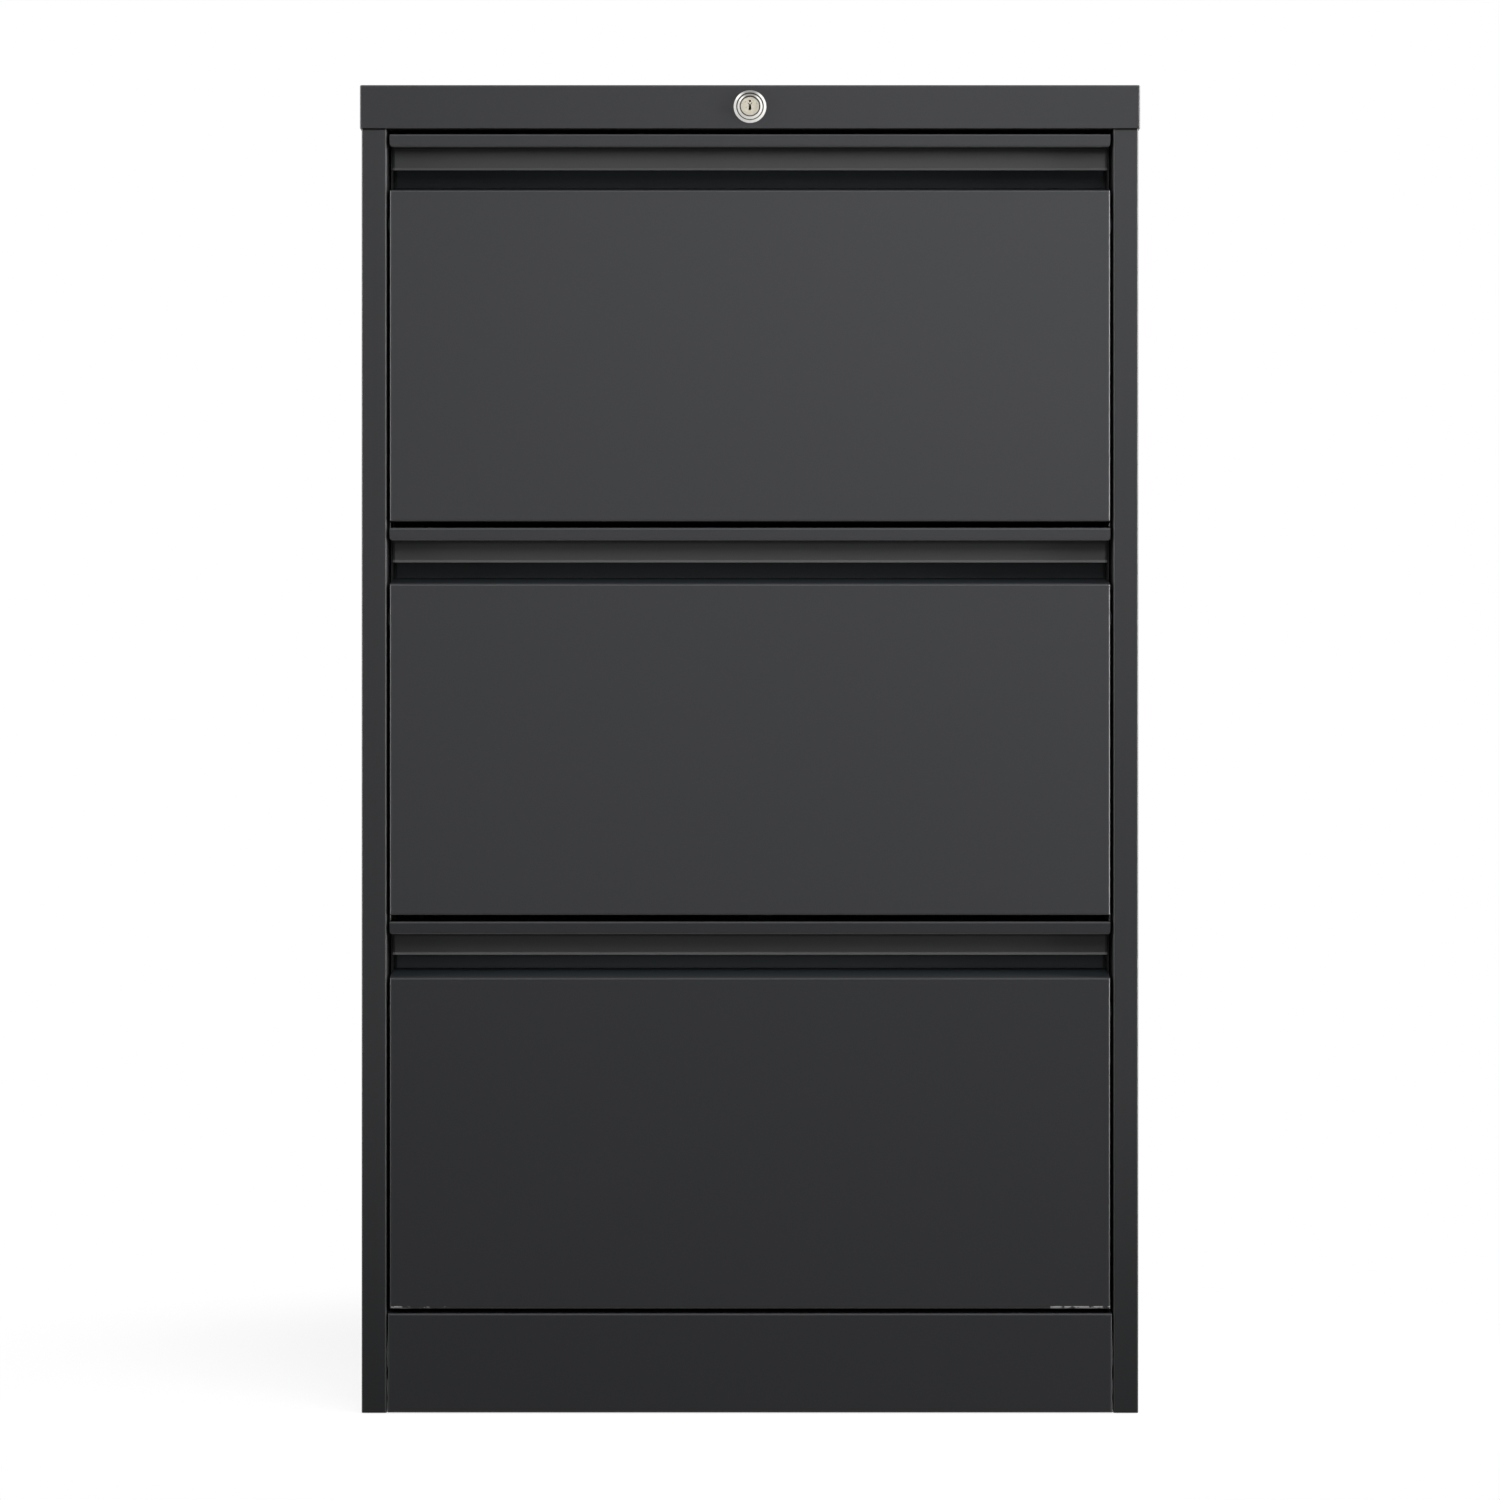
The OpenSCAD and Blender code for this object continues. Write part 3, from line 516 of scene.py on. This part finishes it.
@dataclass(frozen=True)
class PullFilm:
    """The film on one drawer's pull, with painted shade nearly black in the fold under its lip.

    The grip is painted lighter, and the wall behind it gets painted shade; the wall's foot is painted
    darker on the top drawer and lighter on the bottom one.
    """

    lip: str
    thin: str
    grip: str
    wall: str
    foot: str
    specular: float = 0.65
    lip_h_mm: float = 10.0
    fold_h_mm: float = 2.6
    grip_h_mm: float = 16.5
    foot_h_mm: float = 9.0
    grip_y_mm: tuple[float, float] = (-196.0, -190.0)
    wall_y_mm: tuple[float, float] = (-184.0, -176.0)
    foot_y_mm: float = -180.0
    ends_mm: float = 2.8

    def coat(self, drawer: str) -> PowderCoat:
        """Lays out the film.

        Args:
            drawer: The drawer's name.

        Returns:
            The pull's finish.
        """
        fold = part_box(f"{drawer}_drawer_pull")[1].z / MM - self.lip_h_mm
        slot = fold - self.grip_h_mm
        # Painted light on the grip, painted shade on the wall, its foot and the fold.
        return PowderCoat(
            f"charcoal_powder_coat_{drawer}_pull", self.lip, self.thin, specular=self.specular,
            ends_x_mm=PULL_X_MM - self.ends_mm, shades=(
                Shade(self.grip, *self.grip_y_mm, within_mm=FLANK_X_MM),
                Shade(self.wall, *self.wall_y_mm, within_mm=FLANK_X_MM),
                Shade(self.foot, slot, slot - self.foot_h_mm, Along.UP,
                      within_mm=FLANK_X_MM, behind_mm=self.foot_y_mm),
                Shade(PAINTED_SHADE_BLACK, fold - self.fold_h_mm, fold, Along.UP, behind_mm=LIP_Y_MM)))


class Finishes:
    """Every finish of the cabinet, built once."""

    def __init__(self) -> None:
        """Builds the materials."""
        # One coat, in colours that differ part by part as painted light and shade: the top and middle
        # fronts lighter, the base and the bottom front and pull darker.
        self.paint = PowderCoat("charcoal_powder_coat", "#373839", "#353537").build()
        self.sides = SideFilm("#373839", "#353537", "#2b2c2d").coat().build()
        self.cap = PowderCoat("charcoal_powder_coat_cap", "#37383a", "#353537").build()
        self.base = PowderCoat("charcoal_powder_coat_base", "#343537", "#323234").build()
        # The fronts and pulls differ from drawer to drawer as painted light and shade, in their films and
        # in the tones of their slots.
        fronts = {
            "top": FrontFilm("#3c3d3f", "#3a3a3c", "#1b1e20"),
            "middle": FrontFilm("#3c3d3f", "#3a3a3c", "#25292c"),
            "bottom": FrontFilm("#353638", "#333335", "#2b3033", chipped=True)}
        pulls = {
            "top": PullFilm("#363739", "#343436", "#3b3b3c", "#353b3e", "#1b1e20"),
            "middle": PullFilm("#393a3c", "#37373a", "#3f3f40", "#2c3134", "#2c3134"),
            "bottom": PullFilm("#303133", "#2e2e30", "#3e3e3f", "#32383b", "#3a4145")}
        self.fronts = {drawer: film.coat(drawer).build() for drawer, film in fronts.items()}
        self.pulls = {drawer: film.coat(drawer).build() for drawer, film in pulls.items()}
        self.inside = PowderCoat(
            "charcoal_powder_coat_inside", "#3a3a3c", "#353537", roughness=(0.46, 0.56)).build()
        self.zinc = ZincPlate("bright_zinc_plate").build()
        self.ring = TurnedNickel(
            "polished_nickel_ring", "#f4f3f0", "#e8e6e1", (0.10, 0.18), 1.0, LOCK_AXIS_MM).build()
        self.head = TurnedNickel(
            "satin_nickel_head", "#f0efeb", "#e4e2dc", (0.12, 0.20), 1.0, LOCK_AXIS_MM).build()
        self.plug = TurnedNickel(
            "satin_nickel_plug", "#e2dccb", "#d0c9b8", (0.26, 0.38), 0.3, LOCK_AXIS_MM,
            keyway_shade_y_mm=-202.65).build()
        self.nylon = MouldedNylon("moulded_black_nylon").build()


def paint_node(name: str, material: bpy.types.Material) -> None:
    """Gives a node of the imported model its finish.

    Args:
        name: The node's name.
        material: The finish.
    """
    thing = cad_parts[name]
    for place in thing.material_slots:
        place.material = material
    LOG.info("%s wears %s", name, material.name)


def deselect_all() -> None:
    """Deselects every object, because operators act on all that is selected."""
    bpy.ops.object.select_all(action="DESELECT")


def pick_faces(thing: bpy.types.Object, test: Callable[[bmesh.types.BMFace], bool]) -> None:
    """Selects the faces of the object in edit mode that pass a test, and no others.

    Args:
        thing: The object in edit mode.
        test: Says whether a face is wanted.
    """
    mesh = bmesh.from_edit_mesh(thing.data)
    for face in mesh.faces:
        face.select_set(test(face))
    bmesh.update_edit_mesh(thing.data)


def settle(thing: bpy.types.Object, name: str, material: bpy.types.Material) -> bpy.types.Object:
    """Names a new piece, puts its place into its mesh and gives it a finish.

    Args:
        thing: The piece.
        name: Its name.
        material: Its finish.

    Returns:
        The piece.
    """
    deselect_all()
    thing.select_set(True)
    bpy.context.view_layer.objects.active = thing
    bpy.ops.object.transform_apply(location=True, rotation=True, scale=True)
    bpy.ops.object.shade_smooth_by_angle(angle=math.radians(SMOOTH_DEG))
    thing.name = name
    thing.data.name = name
    thing.data.materials.clear()
    thing.data.materials.append(material)
    return thing


def scatter(model: bpy.types.Object, places: Iterable[tuple[Vector, Facing]]) -> bpy.types.Object:
    """Copies a fixing to its places, joins the copies and removes the model.

    Args:
        model: The fixing, standing on the origin and pointing up.
        places: Where each copy's foot goes, in metres, and where its head points.

    Returns:
        One object with all the copies.
    """
    copies = []
    for spot, facing in places:
        copy = model.copy()
        copy.data = model.data.copy()
        bpy.context.scene.collection.objects.link(copy)
        copy.data.transform(Matrix.LocRotScale(spot, facing.euler(), None))
        copies.append(copy)
    bpy.data.objects.remove(model)
    deselect_all()
    for copy in copies:
        copy.select_set(True)
    bpy.context.view_layer.objects.active = copies[0]
    bpy.ops.object.join()
    return copies[0]


@dataclass
class PanScrew:
    """A pan-head screw with a cross recess."""

    head_mm: float = 8.0
    head_h_mm: float = 2.2
    edge_mm: float = 0.9
    shank_mm: float = 4.0
    shank_l_mm: float = 7.6
    recess_mm: tuple[float, float, float] = (5.0, 1.1, 1.5)
    recess_taper: float = 0.7
    facets: int = 28

    def build(self) -> bpy.types.Object:
        """Models the screw with the seat of its head on the origin.

        Returns:
            The screw, pointing up.
        """
        deselect_all()
        bpy.ops.mesh.primitive_cylinder_add(
            vertices=self.facets, radius=self.head_mm / 2 * MM, depth=self.head_h_mm * MM,
            location=(0, 0, self.head_h_mm / 2 * MM))
        screw = bpy.context.object
        bpy.ops.object.transform_apply(location=True, rotation=True, scale=True)
        bpy.ops.object.mode_set(mode="EDIT")
        pick_faces(screw, lambda f: f.normal.z > FLAT)
        bpy.ops.mesh.bevel(offset=self.edge_mm * MM, segments=3, affect="EDGES")
        pick_faces(screw, lambda f: f.normal.z < -FLAT)
        bpy.ops.mesh.inset(thickness=(self.head_mm - self.shank_mm) / 2 * MM)
        bpy.ops.mesh.extrude_region_move(TRANSFORM_OT_translate={"value": (0, 0, -self.shank_l_mm * MM)})
        bpy.ops.object.mode_set(mode="OBJECT")
        for angle in (0.0, math.pi / 2):
            self._cut_slot(screw, angle)
        return screw

    def _cut_slot(self, screw: bpy.types.Object, angle: float) -> None:
        """Cuts one arm of the cross recess, tapered towards its floor.

        Args:
            screw: The screw.
            angle: The arm's angle about the screw's axis.
        """
        deselect_all()
        top = (0, 0, self.head_h_mm * MM)
        bpy.ops.mesh.primitive_cube_add(size=1, location=top, rotation=(0, 0, angle))
        cutter = bpy.context.object
        cutter.scale = (self.recess_mm[0] * MM, self.recess_mm[1] * MM, 2 * self.recess_mm[2] * MM)
        bpy.ops.object.transform_apply(location=True, rotation=True, scale=True)
        bpy.ops.object.mode_set(mode="EDIT")
        pick_faces(cutter, lambda f: f.normal.z < -FLAT)
        bpy.ops.transform.resize(value=(self.recess_taper, self.recess_taper, 1), center_override=top)
        bpy.ops.object.mode_set(mode="OBJECT")
        deselect_all()
        screw.select_set(True)
        bpy.context.view_layer.objects.active = screw
        cut = screw.modifiers.new("recess", "BOOLEAN")
        cut.operation = "DIFFERENCE"
        cut.object = cutter
        bpy.ops.object.modifier_apply(modifier=cut.name)
        bpy.data.objects.remove(cutter)


@dataclass
class Rivet:
    """The upset head of a steel rivet."""

    head_mm: float = 6.5
    rim_mm: float = 0.35
    dome_mm: float = 0.7
    steps: tuple[float, ...] = (0.12, 0.22, 0.3)
    fullness: float = 1.35
    facets: int = 22

    def build(self) -> bpy.types.Object:
        """Models the head with its seat on the origin.

        Returns:
            The rivet head, pointing up.
        """
        deselect_all()
        bpy.ops.mesh.primitive_cylinder_add(
            vertices=self.facets, radius=self.head_mm / 2 * MM, depth=self.rim_mm * MM,
            location=(0, 0, self.rim_mm / 2 * MM))
        rivet = bpy.context.object
        bpy.ops.object.transform_apply(location=True, rotation=True, scale=True)
        bpy.ops.object.mode_set(mode="EDIT")
        pick_faces(rivet, lambda f: f.normal.z > FLAT)
        for share in self.steps:
            rise = self.dome_mm / len(self.steps) * (self.fullness - share)
            bpy.ops.mesh.inset(thickness=share * self.head_mm / 2 * MM)
            bpy.ops.transform.translate(value=(0, 0, rise * MM))
        bpy.ops.object.mode_set(mode="OBJECT")
        return rivet


def turn(profile: Sequence[tuple[float, float]], axis: Vector) -> bpy.types.Object:
    """Turns a closed profile about an axis that runs front to back.

    Args:
        profile: The profile's corners, each a radius and a place from front to back, in metres.
        axis: A point on the axis.

    Returns:
        The turned solid.
    """
    deselect_all()
    bpy.ops.mesh.primitive_circle_add(vertices=len(profile), radius=1.0, fill_type="NOTHING")
    thing = bpy.context.object
    for corner, (radius, place) in zip(thing.data.vertices, profile):
        corner.co = (axis.x + radius, place, axis.z)
    bpy.ops.object.mode_set(mode="EDIT")
    bpy.ops.mesh.select_all(action="SELECT")
    bpy.ops.mesh.spin(steps=TURN_STEPS, angle=2 * math.pi, center=axis, axis=(0, 1, 0))
    bpy.ops.mesh.select_all(action="SELECT")
    bpy.ops.mesh.remove_doubles(threshold=WELD_MM * MM)
    bpy.ops.mesh.normals_make_consistent(inside=False)
    bpy.ops.object.mode_set(mode="OBJECT")
    return thing


@dataclass
class CabinetShell:
    """Side panels, back, cap, base and uprights of the cabinet."""

    finishes: Finishes
    screw: PanScrew = field(default_factory=PanScrew)

    def build(self) -> None:
        """Models the back panel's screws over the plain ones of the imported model."""
        low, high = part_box("carcass_screws")
        model = self.screw.build()
        seat = high.y - self.screw.head_h_mm * MM
        inset = self.screw.head_mm / 2 * MM
        rows = self._rows(low.z + inset, high.z - inset)
        spots = [(Vector((x, seat, z)), Facing.BACK) for x in (low.x + inset, high.x - inset) for z in rows]
        piece = settle(scatter(model, spots), "back_panel_screws", self.finishes.zinc)
        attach(piece, "cabinet")
        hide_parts("carcass_screws")
        LOG.info("%s: %d screws", piece.name, len(spots))

    @staticmethod
    def _rows(low: float, high: float, count: int = 4) -> list[float]:
        """Evenly spaced heights from the lowest to the highest."""
        return [low + (high - low) * k / (count - 1) for k in range(count)]

    def dress(self) -> None:
        """Paints the sheet metal and plates the inner parts."""
        for name in ("left_side_panel", "right_side_panel"):
            paint_node(name, self.finishes.sides)
        for name in ("back_panel", "bottom_pan", "top_rail"):
            paint_node(name, self.finishes.paint)
        paint_node("top_cap", self.finishes.cap)
        paint_node("base_plinth", self.finishes.base)
        for name in ("left_uprights", "right_uprights", "foot_brackets", "carcass_screws"):
            paint_node(name, self.finishes.zinc)


@dataclass
class LockWork:
    """The lock, its rod and the bar that holds the drawers."""

    finishes: Finishes
    ring_rim_mm: float = 10.6
    ring_bore_mm: float = 10.2
    head_rim_mm: float = 8.0
    barrel_mm: float = 9.5
    bore_mm: float = 7.15
    bevel_mm: float = 1.5

    def build(self) -> None:
        """Models the lock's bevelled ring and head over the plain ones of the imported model."""
        bevel, bore, barrel = self.bevel_mm * MM, self.bore_mm * MM, self.barrel_mm * MM
        low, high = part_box("lock_bezel")
        axis, seat, outer = (low + high) / 2, high.y, (high.x - low.x) / 2
        rim, hole = self.ring_rim_mm * MM, self.ring_bore_mm * MM
        ring = turn([
            (outer, seat), (outer, low.y + bevel), (rim, low.y), (hole, low.y), (hole, seat)], axis)
        self._fit(settle(ring, LOCK_RINGS[0], self.finishes.ring), "lock_bezel")
        low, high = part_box("lock_housing")
        outer, rim = (high.x - low.x) / 2, self.head_rim_mm * MM
        head = turn([
            (outer, seat), (outer, low.y + bevel), (rim, low.y), (bore, low.y), (bore, high.y),
            (barrel, high.y), (barrel, seat)], axis)
        self._fit(settle(head, LOCK_RINGS[1], self.finishes.head), "lock_housing")

    @staticmethod
    def _fit(piece: bpy.types.Object, node: str) -> None:
        """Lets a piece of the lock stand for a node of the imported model.

        Args:
            piece: The piece.
            node: The node's name.
        """
        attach(piece, "cabinet")
        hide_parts(node)
        LOG.info("%s stands for %s", piece.name, node)

    def dress(self) -> None:
        """Gives the lock its nickel and the parts behind it their zinc."""
        paint_node("lock_bezel", self.finishes.ring)
        paint_node("lock_housing", self.finishes.head)
        paint_node("lock_plug", self.finishes.plug)
        for name in ("lock_nut", "lock_rod", "lock_crank", "rod_bearing", "lock_bar", "lock_bar_guides"):
            paint_node(name, self.finishes.zinc)


@dataclass
class Levellers:
    """The four levelling feet."""

    finishes: Finishes

    def dress(self) -> None:
        """Gives the feet their black nylon."""
        for name in ("front_left_foot", "front_right_foot", "rear_left_foot", "rear_right_foot"):
            paint_node(name, self.finishes.nylon)


@dataclass
class Drawer:
    """One drawer with its runners."""

    name: str
    finishes: Finishes
    rivet: Rivet = field(default_factory=Rivet)
    rivet_ends_mm: float = 28.0
    rivet_count: int = 4
    wall_mm: float = 0.7

    def build(self) -> None:
        """Models the rivets that hold the runners, on the inside of the tray."""
        body = f"{self.name}_drawer"
        rails_low, rails_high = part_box(f"{body}_drawer_rails")
        tray_low, tray_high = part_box(f"{body}_tray")
        middle = (rails_low.z + rails_high.z) / 2
        first = tray_low.y + self.rivet_ends_mm * MM
        last = tray_high.y - self.rivet_ends_mm * MM
        wall = self.wall_mm * MM
        spots = []
        for k in range(self.rivet_count):
            y = first + (last - first) * k / (self.rivet_count - 1)
            spots.append((Vector((tray_low.x + wall, y, middle)), Facing.RIGHT))
            spots.append((Vector((tray_high.x - wall, y, middle)), Facing.LEFT))
        piece = settle(scatter(self.rivet.build(), spots), f"{body}_runner_rivets", self.finishes.zinc)
        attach(piece, body)
        LOG.info("%s: %d rivets", piece.name, len(spots))

    def dress(self) -> None:
        """Paints the front, the pull and the tray, and plates the runners."""
        body = f"{self.name}_drawer"
        paint_node(f"{body}_front", self.finishes.fronts[self.name])
        paint_node(f"{body}_pull", self.finishes.pulls[self.name])
        for part in ("inner_front", "tray", "back"):
            paint_node(f"{body}_{part}", self.finishes.inside)
        for part in ("hang_bars", "lock_catch", "cabinet_rails", "middle_rails", "drawer_rails",
                     "outer_ball_cages", "inner_ball_cages"):
            paint_node(f"{body}_{part}", self.finishes.zinc)


@dataclass
class SoftBox:
    """A rectangular studio lamp that may be kept out of reflections and off some pieces."""

    name: str
    place: tuple[float, float, float]
    target: tuple[float, float, float]
    size: tuple[float, float]
    watts: float
    mirrored: bool = True
    spares: Sequence[str] = ()

    def build(self) -> None:
        """Hangs the lamp, points it at its target and keeps it off the pieces that it spares."""
        lamp = bpy.data.lights.new(self.name, "AREA")
        lamp.shape = "RECTANGLE"
        lamp.size, lamp.size_y = self.size
        lamp.energy = self.watts
        thing = bpy.data.objects.new(self.name, lamp)
        bpy.context.scene.collection.objects.link(thing)
        thing.location = self.place
        thing.visible_camera = False
        thing.visible_glossy = self.mirrored
        aim = Vector(self.target) - Vector(self.place)
        thing.rotation_euler = aim.to_track_quat("-Z", "Y").to_euler()
        if self.spares:
            spared = bpy.data.collections.new(f"{self.name}_spares")
            for name in self.spares:
                spared.objects.link(bpy.data.objects[name])
            for member in spared.collection_objects:
                member.light_linking.link_state = "EXCLUDE"
            thing.light_linking.receiver_collection = spared


@dataclass(frozen=True)
class Ramp:
    """A brightness that drifts over one axis of a ray's direction, from low at first to high at last."""

    along: Along
    first: float
    last: float
    low: float
    high: float


@dataclass(frozen=True)
class Room:
    """The surroundings: white to the eye, bright at the sides in reflections and a soft grey as light.

    Behind the camera the room is dim, so that flat fronts stay dark and only edges catch the white sides.
    Rounded edges mirror a bright ceiling and a white ground, both too steep for flat fronts to show.
    """

    ambient: float = 0.02
    depth: Ramp = Ramp(Along.BACK, -0.75, -0.25, 0.05, 1.0)
    sides: Ramp = Ramp(Along.SIDE, -0.8, 0.8, 0.9, 1.3)
    ceiling: Ramp = Ramp(Along.UP, 0.30, 0.62, 0.0, 1.3)
    ground: Ramp = Ramp(Along.UP, -0.30, -0.65, 0.0, 0.3)
    zenith: Ramp = Ramp(Along.UP, 0.80, 0.96, 1.0, 0.3)

    def build(self) -> None:
        """Makes the world."""
        world = bpy.data.worlds.new("white_studio")
        world.use_nodes = True
        bpy.context.scene.world = world
        tree = world.node_tree
        tree.nodes.clear()
        path = add_node(tree, "LightPath")
        way = add_node(tree, "SeparateXYZ", None, {0: add_node(tree, "TexCoord").outputs["Generated"]})
        depth, sides, ceiling, ground, zenith = [
            add_node(tree, "MapRange", None, {
                "Value": way.outputs[ramp.along.value], "From Min": ramp.first, "From Max": ramp.last,
                "To Min": ramp.low, "To Max": ramp.high}).outputs[0]
            for ramp in (self.depth, self.sides, self.ceiling, self.ground, self.zenith)]
        walls = add_node(tree, "Math", {"operation": "MULTIPLY"}, {0: depth, 1: sides})
        ends = add_node(tree, "Math", {"operation": "MAXIMUM"}, {0: ceiling, 1: ground})
        lit = add_node(tree, "Math", {"operation": "MAXIMUM"}, {0: walls.outputs[0], 1: ends.outputs[0]})
        room = add_node(tree, "Math", {"operation": "MULTIPLY"}, {0: lit.outputs[0], 1: zenith})
        seen = add_node(tree, "Math", {"operation": "MAXIMUM"}, {
            0: path.outputs["Is Camera Ray"], 1: path.outputs["Is Transmission Ray"]})
        mirrored = add_node(tree, "Mix", None, {
            0: path.outputs["Is Glossy Ray"], 2: self.ambient, 3: room.outputs[0]})
        strength = add_node(tree, "Mix", None, {0: seen.outputs[0], 2: mirrored.outputs[0], 3: 1.0})
        back = add_node(tree, "Background", None, {"Color": (1, 1, 1, 1), "Strength": strength.outputs[0]})
        add_node(tree, "OutputWorld", None, {"Surface": back.outputs[0]})


@dataclass(frozen=True)
class Floor:
    """A pale floor: plain white to the eye further out, with a faint shadow round the base."""

    size_m: float = 14.0
    drop_m: float = 0.0002
    near: str = "#9a9a9a"
    bounce: str = "#5a5a5a"
    glow: float = 0.80
    shade_inset_mm: float = 8.0
    oval: float = 1.3
    clean_m: tuple[float, float] = (0.34, 0.75)

    def build(self) -> None:
        """Lays the floor."""
        deselect_all()
        bpy.ops.mesh.primitive_plane_add(size=self.size_m, location=(0, 0, -self.drop_m))
        floor = bpy.context.object
        floor.name = "studio_floor"
        floor.visible_glossy = False
        floor.data.materials.append(self._paint())

    def _paint(self) -> bpy.types.Material:
        """Builds the floor's paint.

        Returns:
            The material.
        """
        material, tree = new_material("white_studio_floor")
        place = add_node(tree, "TexCoord").outputs["Object"]
        # The cabinet is wider than deep, so the ring in which its shadow shows is an oval.
        oval = add_node(tree, "Mapping", None, {"Vector": place, "Scale": (1.0, self.oval, 0.0)})
        reach = add_node(tree, "VectorMath", {"operation": "LENGTH"}, {0: oval.outputs[0]})
        clean = add_node(tree, "MapRange", {"interpolation_type": "SMOOTHSTEP"}, {
            "Value": reach.outputs["Value"], "From Min": self.clean_m[0], "From Max": self.clean_m[1]})
        paint = add_node(tree, "BsdfDiffuse", None, {"Color": linear(self.near)})
        # Under the cabinet the floor's glow is cut off, a painted shadow, so that the gaps beside the base
        # stay dark.
        axes = add_node(tree, "SeparateXYZ", None, {0: place})
        halves = {
            "X": abs(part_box("left_side_panel")[0].x),
            "Y": abs(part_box("base_plinth")[0].y + self.shade_inset_mm * MM)}
        inside = [
            add_node(tree, "Math", {"operation": "COMPARE"}, {0: axes.outputs[axis], 1: 0.0, 2: half})
            for axis, half in halves.items()]
        shaded = add_node(tree, "Math", {"operation": "MULTIPLY"}, {
            0: inside[0].outputs[0], 1: inside[1].outputs[0]})
        strength = add_node(tree, "MapRange", None, {
            "Value": shaded.outputs[0], "To Min": self.glow, "To Max": 0.0})
        glow = add_node(tree, "Emission", None, {"Color": (1, 1, 1, 1), "Strength": strength.outputs[0]})
        near = add_node(tree, "AddShader", None, {0: paint.outputs[0], 1: glow.outputs[0]})
        white = add_node(tree, "Emission", None, {"Color": (1, 1, 1, 1), "Strength": 1.0})
        shown = add_node(tree, "MixShader", None, {
            0: clean.outputs[0], 1: near.outputs[0], 2: white.outputs[0]})
        path = add_node(tree, "LightPath")
        dim = add_node(tree, "BsdfDiffuse", None, {"Color": linear(self.bounce)})
        mix = add_node(tree, "MixShader", None, {
            0: path.outputs["Is Camera Ray"], 1: dim.outputs[0], 2: shown.outputs[0]})
        # From below the floor is clear, so that the feet and the base can be seen.
        under = add_node(tree, "MixShader", None, {
            0: add_node(tree, "NewGeometry").outputs["Backfacing"], 1: mix.outputs[0],
            2: add_node(tree, "BsdfTransparent").outputs[0]})
        add_node(tree, "OutputMaterial", None, {"Surface": under.outputs[0]})
        return material


@dataclass
class Studio:
    """Camera, lamps, surroundings and floor."""

    distance_m: float = 2.8
    eye_mm: float = 510.6
    sensor_mm: float = 36.0
    room: Room = Room()
    floor: Floor = Floor()
    lamps: Sequence[SoftBox] = (
        SoftBox("key_above_right", (0.23, -1.05, 1.33), (0.05, -0.2, 0.10), (1.2, 0.60), 10.1,
                mirrored=False),
        SoftBox("fill_front", (0.02, -0.80, 0.48), (0.0, -0.2, 0.48), (0.8, 0.6), 0.5, mirrored=False),
        SoftBox("fill_camera", (0.05, -2.60, 0.56), (0.0, -0.2, 0.56), (0.8, 0.6), 4.2, mirrored=False),
        SoftBox("strip_right", (1.5, -0.45, 0.92), (0.0, -0.2, 0.78), (0.25, 1.7), 38.0, spares=LOCK_RINGS),
        SoftBox("strip_left", (-1.5, -0.5, 0.92), (0.0, -0.2, 0.7), (0.3, 1.5), 15.0, spares=LOCK_RINGS),
    )

    def build(self) -> None:
        """Sets up everything that isn't the cabinet."""
        self._camera()
        for lamp in self.lamps:
            lamp.build()
        self.room.build()
        self.floor.build()
        bpy.context.scene.view_settings.view_transform = "Standard"

    def _camera(self) -> None:
        """Places the camera square to the front, at half the cabinet's height."""
        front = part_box("base_plinth")[0].y
        view = bpy.data.cameras.new("front_view")
        view.sensor_width = self.sensor_mm
        view.lens = self.sensor_mm * self.distance_m / (IMAGE_MM * MM)
        eye = bpy.data.objects.new("front_view", view)
        bpy.context.scene.collection.objects.link(eye)
        eye.location = (0.0, front - self.distance_m, self.eye_mm * MM)
        eye.rotation_euler = (math.pi / 2, 0.0, 0.0)
        bpy.context.scene.camera = eye


def main() -> None:
    """Builds and dresses the cabinet, then sets up the studio."""
    logging.basicConfig(level=logging.INFO, format="%(message)s")
    finishes = Finishes()
    shell = CabinetShell(finishes)
    shell.build()
    shell.dress()
    lock = LockWork(finishes)
    lock.build()
    lock.dress()
    Levellers(finishes).dress()
    for name in DRAWERS:
        drawer = Drawer(name, finishes)
        drawer.build()
        drawer.dress()
    Studio().build()


if __name__ == "__main__":
    main()
